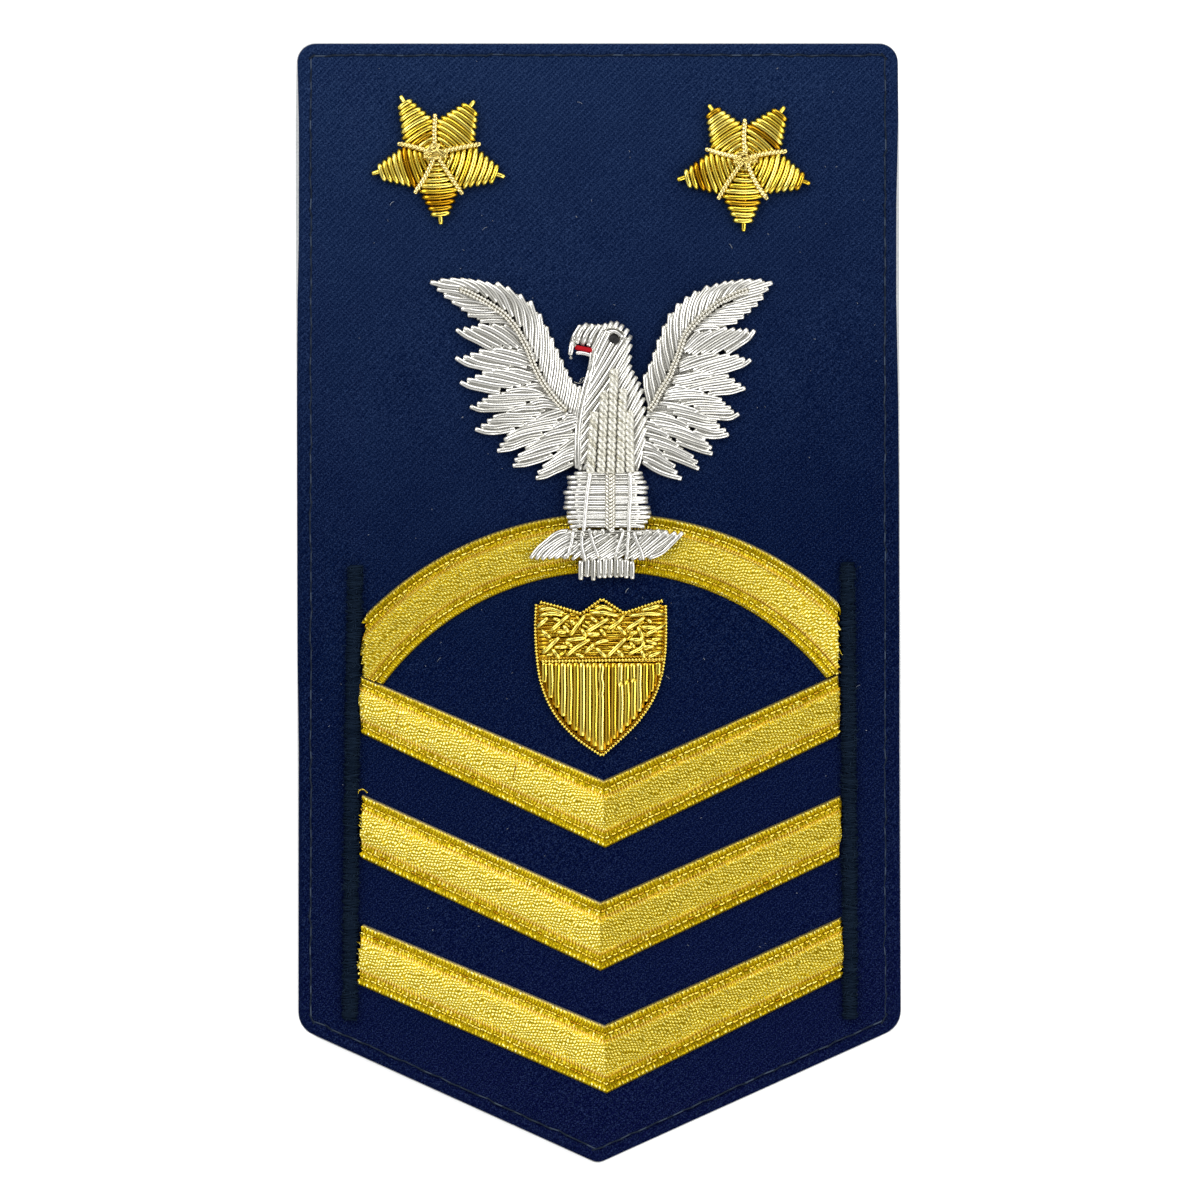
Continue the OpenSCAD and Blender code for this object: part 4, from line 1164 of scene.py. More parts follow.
LEFT_QUILL = (
    460.5, 290, 469, 293.5, 478, 298, 487, 303, 496, 309, 504.5, 315, 512, 323, 518.5, 332, 524, 342,
    529, 352, 533, 363, 538, 374, 543.5, 384, 550, 393, 557, 402, 566, 411,
)
RIGHT_QUILL = (
    747.5, 291, 740, 293, 730, 297.6, 721, 302, 712.5, 308, 705, 314.5, 697.5, 320.8, 691, 328,
    685, 335.8, 681, 345.8, 677.5, 357, 673.8, 365.8, 670, 375.8, 665, 384.5, 658.8, 394.5,
    653.8, 404.5, 648.8, 410.8,
)


# Wires under the feathers, of each wing: the line of their tips and the line of their roots
LEFT_COVERTS = (
    (485, 318, 500, 338, 506, 356, 514, 376, 528, 398, 541, 418, 554, 438, 563, 456),
    (505, 314, 521, 335, 533, 360, 545, 386, 560, 405, 573, 418, 577, 440, 576, 462),
)
RIGHT_COVERTS = (
    (728, 316, 712, 340, 706, 358, 698, 374, 686, 396, 672, 416, 660, 437, 654, 456),
    (703, 315, 687, 335, 677, 358, 670, 377, 659, 396, 648, 412, 643, 436, 643, 460),
)
COVERT_COUNT = 42


def wing(name, node, plume, feathers, rim, coverts):
    """A wing: short wires under everything, then each feather, then the plume along the quill."""
    bundle = Bundle(8)
    high = WING_TOP - WIRE
    low = ON_CLOTH + WIRE * 0.9
    tips, roots = at(*coverts[0]), at(*coverts[1])
    shares = np.arange(COVERT_COUNT) / (COVERT_COUNT - 1)
    lines = [bowed(pick(roots, share), pick(tips, share), 0.03, 9) for share in shares]
    under = slope_level(low - 0.05 * MM, high - 0.85 * MM)
    lay_side_by_side(bundle, lines, WIRE, under, 0.12 * MM, fill=False, tint=0.45)
    level = rim_level(at(*rim), low, high - 0.1 * MM, 2.4 * MM)
    for feather in feathers:
        lines = [longer(smooth(at(*row), 13), True, 0.45 * MM) for row in feather]
        lay_side_by_side(bundle, lines, WIRE * 0.94, level, 0.05 * MM, groove=WING_GROOVE)
    lines = [longer(smooth(at(*row), 13)[::-1], False, 0.55 * MM) for row in plume]
    level = slope_level(low + 0.15 * MM, high)
    lay_side_by_side(bundle, lines, WIRE, level, 0.03 * MM, groove=WING_GROOVE)
    bundle.piece(name, SILVER, "silver_wire", node)


# The two rows of beads in a quill: how far beside its middle line, and their tint
QUILL_ROWS = ((0.25 * MM, 1.0), (-0.29 * MM, 0.6))


def quill(name, node, places):
    """Two rows of beads side by side over a dark core, painted shade between the beads."""
    bundle = Bundle(8)
    middle = smooth(at(*places), 60)
    run = np.gradient(middle, axis=0)
    aside = np.column_stack([-run[:, 1], run[:, 0]]) / np.linalg.norm(run, axis=1)[:, None]
    for off, tint in QUILL_ROWS:
        line = at_level(middle + aside * off, WING_TOP + 0.24 * MM)
        bundle.lay_beads(line, 0.32 * MM, 0.60 * MM, tint, waist=0.3, per_bead=6)
    # Painted shade: dark core that shows between the beads
    bundle.lay(at_level(middle, WING_TOP - 0.02 * MM), 0.42 * MM, 0.0)
    bundle.piece(name, QUILL, "pale_cord", node)


def wings():
    """Both wings with their quills."""
    wing("left_wing_wires", "left_wing", LEFT_PLUME, LEFT_FEATHERS, LEFT_RIM, LEFT_COVERTS)
    wing("right_wing_wires", "right_wing", RIGHT_PLUME, RIGHT_FEATHERS, RIGHT_RIM, RIGHT_COVERTS)
    quill("left_quill_beads", "left_quill", LEFT_QUILL)
    quill("right_quill_beads", "right_quill", RIGHT_QUILL)


# EAGLE'S BODY

# Wires of the head and breast: tip, a place on the way, root
BODY_WIRES = [
    (606.5, 324, 598, 340, 592, 351), (612.5, 322, 600, 346, 590, 371),
    (618, 322, 603, 349, 588.5, 381), (623, 325, 606, 355, 586, 393), (628, 329, 609, 361, 583, 403),
    (631, 335.5, 611, 369, 580.5, 413), (631.3, 344.5, 609, 383, 578, 425),
    (631, 355.5, 606, 396, 577, 437), (631, 365, 603, 410, 576, 448),
    (633.5, 371, 601, 424, 575.5, 459), (636.5, 376.5, 600, 436, 577.5, 468),
    (639.5, 382, 602, 448, 581, 473), (642.5, 389, 606, 452, 586.5, 473),
    (644.2, 398, 612, 449, 594, 473), (645.3, 407, 619, 450, 603, 473),
    (646.6, 416.5, 626, 452, 612, 473), (646.6, 426.5, 632, 456, 621, 473),
    (644.5, 438, 636, 460, 629, 473), (641.5, 450, 638, 464, 635, 473),
]
BEAK_WIRES = [
    (581, 325.5, 574.2, 337, 570.5, 355), (587.3, 323.8, 580.4, 334, 576.8, 343.5),
    (593.2, 324.8, 586, 336, 582.4, 344.6), (600, 325.2, 592, 337, 588.6, 346),
]
# Wires that run down the left side
NECK_WIRES = [
    (592.5, 350, 590, 368, 584.5, 388, 579.5, 410, 577, 432, 576.5, 456, 577, 468),
    (596, 352, 593, 372, 587.5, 393, 582.5, 414, 580, 436, 579.8, 455, 580.5, 470),
]
BODY_OUTLINE = (
    576, 473, 575, 448, 578, 420, 583, 397, 590, 368, 592, 345, 580, 344, 572, 340, 580, 325, 600, 322,
    618, 321, 629, 328, 632, 345, 632, 366, 642, 386, 647, 412, 646, 430, 640, 473,
)
# Breast braids from left to right: top, foot
BRAIDS = [
    (594.5, 414, 590.5, 473), (604.5, 393, 601, 473), (614, 371, 610.7, 473), (622.5, 391, 620.2, 473),
    (628.8, 413, 630, 472),
]


# Radius and groove of the body's wires, and over what reach its padding rises: breast, beak
BODY_WIRE = 0.42 * MM
BODY_GROOVE = 0.26
BREAST_RISE = 3.0 * MM
BEAK_RISE = 1.2 * MM
# Wires over the eye: the brow, the dark line above it as painted shade, and the crease behind the eye
BROW = (607, 333.8, 611, 332.6, 616, 333.2, 622, 338)
BROW_SHADE = (606, 331.2, 612, 330, 618.5, 331.5, 623.5, 336)
EYE_CREASE = (620, 337, 628, 341.5)
# Loose ends: a knot at the beak's tip, and a loop beside the neck
BEAK_KNOT = (570, 355, 571.8, 358.5, 570, 358.8, 571, 356)
NECK_LOOP = (574, 382, 580, 383.5, 584, 380, 584.3, 377.8, 582, 378.6, 579.5, 382.5)
# Tongue: the ends of its first thread, the step down to the next, and the thread under them
TONGUE = (575.3, 346.2, 591.8, 349.6)
TONGUE_STEP = 1.0
TONGUE_UNDER = (576.5, 347.8, 591.0, 351)
LOWER_BEAK = (576.6, 353.2, 583, 353.6, 591, 355.8)
EYE = (614.2, 339.8)
EYE_RADIUS = 0.83 * MM


def body_level(line, reach=BREAST_RISE):
    """Level of the wires' middle over the padded body, which rises over that reach from its edge."""
    d = edge_distance(line, at(*BODY_OUTLINE))
    low = ON_CLOTH + WIRE * 1.4
    return low + (BODY_TOP - BODY_WIRE - low) * swell(d, reach)


def eagle_body():
    """The head and breast, laid from the beak down, with darker wires in their gaps as painted shade, and
    their loose ends.
    """
    bundle = Bundle(8)
    lines = [wavy(smooth(at(*row), 14), 0.03 * MM) for row in BEAK_WIRES + BODY_WIRES]
    lines = [longer(line, False, -0.22 * MM) for line in lines]
    for k, line in enumerate(lines):
        level = body_level(line, BEAK_RISE if k < len(BEAK_WIRES) else BREAST_RISE)
        bundle.lay(at_level(line, level), BODY_WIRE, rng.uniform(0.3, 1.0), groove=BODY_GROOVE)
    # Painted shade: darker wires in the gaps between the body's wires
    for a, b in zip(lines, lines[1:]):
        line = ((a + b) / 2)[1:-1]
        bundle.lay(at_level(line, body_level(line) - 0.28 * MM), 0.40 * MM, 0.05)
    for row in NECK_WIRES:
        line = smooth(at(*row), 24)
        bundle.lay(at_level(line, body_level(line) + 0.1 * MM), 0.38 * MM, 0.8, groove=BODY_GROOVE)
    bundle.lay(at_level(smooth(at(*BROW), 10), BODY_TOP + 0.62 * MM), 0.28 * MM, 1.0)
    # Painted shade: a dark wire above the brow
    bundle.lay(at_level(smooth(at(*BROW_SHADE), 10), BODY_TOP + 0.30 * MM), 0.15 * MM, 0.0)
    bundle.lay(at_level(smooth(at(*EYE_CREASE), 5), BODY_TOP + 0.25 * MM), 0.16 * MM, 0.3)
    bundle.lay(at_level(smooth(at(*BEAK_KNOT), 12), ON_CLOTH + 0.45 * MM), 0.12 * MM)
    bundle.lay(at_level(smooth(at(*NECK_LOOP), 30), ON_CLOTH + 0.25 * MM), 0.06 * MM)
    bundle.piece("eagle_body_wires", SILVER, "silver_wire", "eagle_body")


def mouth():
    """The red tongue and the lower beak."""
    threads = Bundle(8)
    x0, y0, x1, y1 = TONGUE
    for k, lift in enumerate((1.25, 1.37, 1.37, 1.25)):
        down = k * TONGUE_STEP
        line = smooth(at(x0, y0 + down, x1, y1 + down), 8)
        threads.lay(at_level(line, ON_CLOTH + lift * MM), 0.15 * MM)
    threads.lay(at_level(smooth(at(*TONGUE_UNDER), 6), ON_CLOTH + 0.8 * MM), 0.3 * MM)
    threads.piece("tongue_threads", RED, "red_thread", "tongue")
    jaw = Bundle(8)
    jaw.lay(at_level(smooth(at(*LOWER_BEAK), 10), ON_CLOTH + 1.05 * MM), 0.35 * MM, 1.0)
    jaw.piece("lower_beak_wire", SILVER, "silver_wire", "lower_beak")


def eye():
    """A domed bead of black thread."""
    bm = bmesh.new()
    bmesh.ops.create_uvsphere(bm, u_segments=32, v_segments=16, radius=EYE_RADIUS)
    bmesh.ops.scale(bm, vec=(1, 1, 0.5), verts=bm.verts)
    x, y = at(*EYE)[0]
    bmesh.ops.translate(bm, vec=(x, y, BODY_TOP + 0.1 * MM), verts=bm.verts)
    mesh = bpy.data.meshes.new("eye_bead")
    bm.to_mesh(mesh)
    bm.free()
    mesh.polygons.foreach_set("use_smooth", [True] * len(mesh.polygons))
    m = Shader("eye_thread", Roughness=0.55, Specular_IOR_Level=0.2)
    grain = m.noise(0.18 * MM, detail=3.0)
    m.drive(
        Base_Color=m.ramp(grain, (0.3, (0.002, 0.002, 0.002)), (0.8, (0.022, 0.022, 0.023))),
        Normal=m.bump(grain, 0.05 * MM, 0.7),
    )
    make_piece("eye_bead", mesh, m.material, ["eye"])


# A breast braid: its radius, that of a ply, the length of a turn, and the core that fills it
BRAID_RADIUS = 0.86 * MM
BRAID_PLY = 0.43 * MM
BRAID_TURN = 3.15 * MM
BRAID_CORE = 0.55 * MM


def breast_braids():
    """Five cords, each of three plies of four wires, that sink at their upper ends."""
    for k, (x0, y0, x1, y1) in enumerate(BRAIDS):
        bundle = Bundle(6)
        line = smooth(at(x1, y1, (x0 + x1) / 2, (y0 + y1) / 2, x0, y0), 12)
        lift = np.full(12, BODY_TOP + 0.30 * MM)
        lift[-2:] -= [0.12 * MM, 0.42 * MM]
        path = at_level(line, lift)
        bundle.lay(path, BRAID_CORE, 0.1)
        bundle.lay_twist(path, BRAID_RADIUS, BRAID_PLY, BRAID_TURN, plies=3, wires=4)
        bundle.piece(f"breast_braid_{k + 1}_cord", PALE_CORD, "pale_cord", f"breast_braid_{k + 1}")


# TAIL AND PERCH

# Ends of the tail's wires from the top down: left end, right end, height on the grid
TAIL_ENDS = [
    (575.6, 640.6, 473.8), (569.4, 643, 478.2), (567.6, 645.6, 483), (566.4, 647, 487.9),
    (565.6, 648.3, 492.8), (565.4, 648.6, 497.8), (565.3, 649, 502.8), (565.4, 649.4, 507.8),
    (566, 649, 512.8), (567.3, 648.3, 517.6), (569.5, 646.7, 522.4), (571, 645, 527),
]
# Wires of the perch from left to right, foot first
PERCH_WIRES = [
    (531, 558, 537.7, 549.3, 546.8, 541.4, 559.3, 532.3, 567.7, 531),
    (536.8, 558.9, 542.7, 551, 553.5, 542.7, 565.2, 536, 572.7, 532.7),
    (542.7, 559.3, 550.2, 551, 559.3, 543.9, 569.3, 538.5, 577, 534.5),
    (549.3, 558.3, 556.8, 551.8, 564.3, 546.8, 574, 542),
    (555.5, 557.8, 561.5, 553.5, 568, 548.5, 578, 542.2), (564.3, 558.2, 572.7, 551, 580, 545),
    (577, 546.8, 587.7, 541, 596, 535.2, 605, 532),
    (572.7, 559.3, 579.3, 553.5, 587.7, 548, 596, 542, 610, 533),
    (583.5, 559.3, 589.3, 555.2, 596.8, 551, 605.2, 545.2, 619, 535),
    (590.5, 559.3, 598.5, 555.2, 607.7, 549.3, 619.5, 540.5),
    (598.5, 559.3, 606, 555.2, 613.5, 550.2, 623, 543.5),
    (607, 558.8, 614, 554.3, 620.2, 550.2, 627, 544.5), (612, 551.5, 620.2, 545, 628.5, 538, 636, 532),
    (614.8, 558.5, 621.8, 554.3, 629.3, 550.2, 636.8, 543.9, 642.7, 538.5, 651, 531),
    (628.5, 551, 636.8, 542.7, 644.3, 534.3, 647, 531),
    (626, 558.9, 633.5, 553.5, 641, 546.8, 646.8, 541.8, 659.3, 530.6),
    (631.8, 559.3, 640.2, 553.5, 649.3, 546, 666.8, 531.8),
    (639.5, 559, 648, 553.8, 657, 546.5, 675.2, 533),
    (649.3, 557.8, 662.7, 552.4, 672.7, 542.7, 681.8, 532.9),
]
# Thin wires that cross the perch: top, middle, foot
PERCH_CROSSINGS = [
    (573.9, 530.6, 571.7, 542.8, 567, 558), (581.7, 531.7, 581.7, 542.8, 585, 560.6),
    (589.4, 530.6, 592.8, 541.7, 598.3, 557), (622.8, 531.7, 620, 542.8, 615, 557),
    (628.3, 531.7, 627.8, 542.8, 626, 559.4), (633.9, 532.8, 637.2, 542.8, 643.9, 559.4),
]
# Upright wires of the tail tip: place across, top, foot
TIP_WIRES = [
    (581, 561.5, 579), (587.3, 559.5, 576.2), (593.4, 559, 579.8), (599.3, 560.5, 577.2),
    (605, 559, 577.2), (610.7, 558.5, 576.8), (616.2, 558.5, 576.8), (621, 559, 576.2),
    (626.4, 560, 577.4), (632, 562, 578.2),
]


# Height on the grid below which the tail's wires lie on the rocker, and their radius
ROCKER_EDGE = 517
TAIL_WIRE = 0.36 * MM
# The two strands that run down the tail
TAIL_STRANDS = {
    "left": (590.6, 473, 587, 492.8, 585.6, 509.4, 583.9, 531),
    "right": (630, 473, 630, 498.3, 628.9, 515, 628.9, 531),
}
# Plait down the tail: its middle line, its first wire and the step to the next pair
PLAIT_MIDDLE = 610.3
PLAIT_TOP = 474.5
PLAIT_STEP = 3.6
PLAIT_PAIRS = 16
# How far the wires of the plait reach out and in from the middle line, and up and down
PLAIT_OUT, PLAIT_IN, PLAIT_UP, PLAIT_DOWN = 4.2, 0.6, 3.0, 2.2
PLAIT_CORE = (610.3, 474, 610.3, 529)


def tail_block():
    """Level wires across the tail, with darker ones in the gaps as painted shade."""
    bundle = Bundle(8)
    u = np.linspace(-1, 1, 17)
    dome = 0.55 + 0.45 * (1 - np.abs(u) ** 6) ** 0.5
    last = last_z = None
    for left, right, y in TAIL_ENDS:
        left, right = left + rng.normal(0.6, 0.9), right + rng.normal(-0.6, 0.9)
        ground = (ON_LACE if y > ROCKER_EDGE else ON_CLOTH) + TAIL_WIRE
        bow = rng.normal(0, 0.5)
        places = at(left, y, (left + right) / 2, y + bow, right, y + rng.normal(0, 0.3))
        line = wavy(smooth(places, 17), 0.07 * MM)
        z = ground + (TAIL_TOP - TAIL_WIRE - ground) * dome
        bundle.lay(at_level(line, z), TAIL_WIRE, rng.uniform(0.5, 1.0))
        # Painted shade: a darker wire in the gap below each pair of rows
        if last is not None:
            middle, middle_z = (line + last)[2:-2] / 2, ((z + last_z) / 2)[2:-2]
            bundle.lay(at_level(middle, middle_z - 0.26 * MM), TAIL_WIRE * 1.05, 0.2)
        last, last_z = line, z
    bundle.piece("tail_wires", SILVER, "silver_wire", "tail_block")


def tail_strands():
    """A single wire down each side of the tail."""
    for side, places in TAIL_STRANDS.items():
        strand = Bundle(8)
        line = wavy(smooth(at(*places), 16), 0.05 * MM)
        strand.lay(at_level(line, TAIL_TOP + 0.3 * MM), TAIL_WIRE, 1.0)
        strand.piece("tail_wire_" + side, SILVER, "silver_wire", "tail_strand_" + side)


def tail_braid():
    """The plait down the tail's middle: pairs of short wires over a dark core, painted shade between them.
    """
    plait = Bundle(6)
    lift = np.array([0.0, 0.22, 0.34, 0.34, 0.18]) * MM
    for k in range(PLAIT_PAIRS):
        y = PLAIT_TOP + k * PLAIT_STEP
        for side in (-1, 1):
            outer = at(PLAIT_MIDDLE + side * PLAIT_OUT, y - PLAIT_UP)[0]
            inner = at(PLAIT_MIDDLE - side * PLAIT_IN, y + PLAIT_DOWN)[0]
            plait.lay(at_level(bowed(outer, inner, 0.12 * side, 5), TAIL_TOP + lift), 0.22 * MM)
    # Painted shade: dark core that shows between the plait's wires
    plait.lay(at_level(smooth(at(*PLAIT_CORE), 8), TAIL_TOP + 0.05 * MM), 0.35 * MM, 0.0)
    plait.piece("tail_plait", QUILL, "pale_cord", "tail_braid")


# Dark wires under the perch, painted shade in its gaps: height on the grid, left end, right end
PERCH_UNDER = ((532.5, 562, 664), (537, 556, 668), (542, 549, 662), (547.5, 542, 658), (553, 538, 655))
# Short stitches that stand on the perch's upper edge
PERCH_KNOTS = (
    (590, 531.5), (595, 533), (622, 531), (639, 533.5), (575, 530.5), (612, 531), (603, 532),
    (583, 534), (648, 532),
)
PERCH_WIRE = 0.38 * MM


def perch_level(line, t):
    """Level of the perch's wires, t from 0 to 1 along them: high in the middle, low at both ends."""
    low, high = ON_LACE + PERCH_WIRE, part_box("perch")[1][2] - PERCH_WIRE
    return low + (high - low) * (0.5 + 0.5 * np.sqrt(np.clip(1 - np.abs(2 * t - 1) ** 4, 0, 1)))


def perch():
    """Slanting wires side by side, thin wires that cross them, and knots on the upper edge."""
    bundle = Bundle(8)
    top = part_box("perch")[1][2]
    lines = [smooth(at(*row), 14) for row in PERCH_WIRES]
    lay_side_by_side(bundle, lines, PERCH_WIRE, perch_level, 0.05 * MM, tint=0.45, groove=0.24)
    # Painted shade: dark wires under the perch's gaps
    for y, left, right in PERCH_UNDER:
        line = smooth(at(left, y, right, y), 16)
        bundle.lay(at_level(line, ON_LACE + PERCH_WIRE), PERCH_WIRE * 1.25, 0.1)
    for row in PERCH_CROSSINGS:
        line = wavy(smooth(at(*row), 12), 0.07 * MM)
        z = top + np.r_[0.05, np.full(10, 0.22), 0.0] * MM
        bundle.lay(at_level(line, z), 0.28 * MM, 0.9)
    for place in PERCH_KNOTS:
        c = at(*place)[0]
        turn = rng.uniform(0, FULL_TURN / 2)
        reach = 0.35 * MM * np.array([math.cos(turn), math.sin(turn)])
        bundle.lay(at_level(smooth([c - reach, c + reach], 4), top + 0.3 * MM), 0.33 * MM)
    bundle.piece("perch_wires", SILVER, "silver_wire", "perch")


# Dark wires in the gaps of the tail tip, as painted shade: where they stand across it, and their ends
TIP_GAPS = np.arange(584, 631, 5.6)
TIP_GAP_ENDS = (560.5, 575.5)


def tail_tip():
    """The row of short upright wires below the perch."""
    tip = Bundle(8)
    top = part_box("tail_tip")[1][2]
    for x, y0, y1 in TIP_WIRES:
        line = wavy(smooth(at(x, y0, x + rng.normal(0, 0.3), y1), 8), 0.03 * MM)
        z = top - 0.46 * MM - np.linspace(0, 1, 8) ** 2 * 0.30 * MM
        tip.lay(at_level(line, z), 0.43 * MM, rng.uniform(0.15, 0.9), groove=0.28)
    # Painted shade: dark wires in the gaps
    for x in TIP_GAPS:
        line = smooth(at(x, TIP_GAP_ENDS[0], x, TIP_GAP_ENDS[1]), 6)
        tip.lay(at_level(line, top - 0.75 * MM), 0.42 * MM, 0.0)
    tip.piece("tail_tip_wires", SILVER, "silver_wire", "tail_tip")


# SHIELD

SHIELD_LEFT = (
    541, 602.3, 536.3, 603.5, 535.5, 628, 537, 657, 541.5, 684, 552.5, 710, 571.5, 733.5, 592.5, 749.5,
    602, 755.5,
)
SHIELD_RIGHT = (
    662.8, 600.5, 665.6, 604.5, 665.9, 628, 665, 652.5, 661.5, 675, 653.5, 698, 637, 722.5, 619, 740.3,
    602, 755.5,
)
SHIELD_TOP_EDGE = [
    (539.5, 602, 560, 607.3, 582, 614), (582.5, 613, 602, 599), (602, 599, 624, 613.3),
    (624.5, 613, 663.3, 600.3),
]
SHIELD_DIVIDER = (541.5, 661.2, 602, 660.2, 663, 659)
# Bright wires that lie crosswise on the chief: from, to
CHIEF_WIRES = [
    (537.3, 627, 547.3, 618.3), (551.7, 630, 569.4, 614.6), (570.6, 635, 578, 624.5, 585, 615),
    (587.2, 631.6, 607.7, 618.9), (608, 629, 620, 620.5, 625, 613.8), (626.6, 629, 644, 617.8),
    (646.6, 634, 664.4, 625), (543.3, 652.8, 558.8, 637.8), (567.5, 655, 576, 647.6, 589.4, 639.5),
    (585.5, 652.2, 593.5, 644), (595.5, 643.7, 602, 641, 608, 640.5),
    (607.8, 656, 618.8, 645, 625.5, 638.5), (629, 654, 643.3, 644, 641, 637),
    (648.8, 656.6, 660.6, 651.7), (542.2, 630.5, 550, 637.2), (571, 620.5, 574.5, 624),
    (564, 626, 568.3, 631.5), (581.7, 629.5, 586.1, 636), (600.5, 629.5, 605.5, 635),
    (617.8, 626.6, 625.5, 634), (637.8, 627.2, 642.8, 637.2), (647.8, 620, 651.1, 622.2),
    (566, 642.2, 572.2, 646), (552.8, 649.5, 559.4, 657.8), (576.6, 654, 583.3, 656.6),
    (596.6, 648.3, 605.5, 656.6), (617.8, 650.5, 622.8, 656), (630.5, 642.8, 634.4, 647.2),
    (641, 650.5, 644.4, 657.2), (646.6, 640.5, 656.6, 644), (591, 617.2, 596.6, 621.6),
    (557.8, 632.2, 565.5, 632.2), (566.6, 640, 585.5, 637.8), (587.8, 634, 599, 634),
    (630.5, 633.3, 636.6, 632.2), (642.2, 627.2, 655.5, 627.2), (630, 639.5, 641, 639.5),
    (555.5, 647.2, 566.6, 646.6), (623.3, 646.6, 631, 647.2), (643.3, 646.6, 653.3, 646.6),
    (652.2, 639.5, 661, 638.8), (554, 618.5, 560, 620.5), (540, 609.5, 550, 608.8, 563.3, 613),
    (540, 615.5, 552, 613.3, 562, 615.5), (595.5, 610, 602.2, 606.6, 612.2, 610.5),
    (591, 612.8, 605.5, 612.8, 617.8, 616), (642.2, 610.5, 650, 608.5, 658.8, 606),
    (630, 616, 646.6, 613.8, 663.3, 614.5),
]


# Stripes: the first one's place across the grid, the step to the next, and the height of their tops
STRIPE_FIRST = 544.6
STRIPE_STEP = 6.3
STRIPE_TOP = 663.2
STRIPE_COUNT = 19
STRIPE_WIRE = 0.49 * MM
# Stripes given a painted highlight by the brightest tint, one that is bent at its top, and those laid in
# two parts
BRIGHT_STRIPES = (3, 6, 9, 12, 15)
BENT_STRIPE = 9
PARTED_STRIPES = (12, 13, 14)
# Half the width of the shield's border cord
BORDER_WIDTH = 0.62 * MM
# Level wires under the chief: heights on the grid and radius
CHIEF_ROWS = np.arange(602.5, 660, 4.1)
CHIEF_GROUND = 0.38 * MM
# Short random wires on the chief: how many, where on the grid, and the ways that they turn
CHIEF_STITCHES = 46
CHIEF_ACROSS = (541, 660)
CHIEF_DOWN = (616, 656)
CHIEF_TURNS = (0.6, 2.4, 0.1)
# Place that the dark line of painted shade inside the border is drawn towards, and by what share
SHIELD_MIDDLE = (602, 650)
BORDER_INSET = 0.034


def shield_outline():
    """The shield's outline in metres."""
    left, right = at(*SHIELD_LEFT), at(*SHIELD_RIGHT)
    top = [smooth(at(*edge), 6) for edge in SHIELD_TOP_EDGE]
    return np.vstack([np.vstack(top), right[1:], left[::-1][1:]])


def spans(outline, value, axis):
    """Where a straight line at that x (axis 0) or y (axis 1) runs inside an outline, as pairs."""
    a, b = outline, np.roll(outline, -1, axis=0)
    cut = (a[:, axis] > value) != (b[:, axis] > value)
    share = (value - a[cut, axis]) / (b[cut, axis] - a[cut, axis])
    hits = np.sort(a[cut, 1 - axis] + share * (b[cut, 1 - axis] - a[cut, 1 - axis]))
    return list(zip(hits[::2], hits[1::2]))


def shield_level(line, radius):
    """Level of the middle of wires of that radius over the shield's padding."""
    d = edge_distance(line, shield_outline())
    low = ON_CLOTH + radius * 0.9
    return low + (SHIELD_TOP - radius - low) * swell(np.maximum(d - 0.35 * MM, 0), 3.2 * MM)


def arched(count, height):
    """Heights that rise from 0 to that height in the middle and come back to 0."""
    return np.sin(np.linspace(0, math.pi, count)) * height


def shield_stripes():
    """Upright wires below the divider, with dark ones in the gaps as painted shade."""
    outline = shield_outline()
    stripes = Bundle(8)
    for k in range(2 * STRIPE_COUNT - 1):
        x = at(STRIPE_FIRST + k * STRIPE_STEP / 2, 0)[0][0]
        foot = spans(outline, x, 0)[0][0] + BORDER_WIDTH + (0.35 + 0.9 * abs(x) / (11 * MM)) * MM
        top = at(0, STRIPE_TOP + rng.uniform(0, 0.7))[0][1]
        if foot > top - 1.5 * MM:
            foot = top - 2.2 * MM
        number, in_gap = divmod(k, 2)
        # Painted shade: a dark wire in each gap
        if in_gap:
            line = np.column_stack([np.full(10, x), np.linspace(top, foot - 0.3 * MM, 10)])
            z = shield_level(line, STRIPE_WIRE) - 0.32 * MM
            stripes.lay(at_level(line, z), STRIPE_WIRE * 0.9, 0.0)
            continue
        line = wavy(np.column_stack([np.full(18, x), np.linspace(top, foot, 18)]), 0.05 * MM)
        # Painted highlight: some stripes get the brightest tint
        tint = 1.0 if number in BRIGHT_STRIPES else rng.uniform(0.1, 0.6)
        if number == BENT_STRIPE:
            line[:7, 0] += np.sin(np.arange(7) * 1.8) * 0.12 * MM
        parts = (line[:6], line[5:] + [0.10 * MM, 0]) if number in PARTED_STRIPES else (line,)
        for part in parts:
            stripes.lay(at_level(part, shield_level(part, STRIPE_WIRE)), STRIPE_WIRE, tint, groove=0.26)
    stripes.piece("shield_stripe_wires", GOLD, "gold_wire", "shield_stripes")


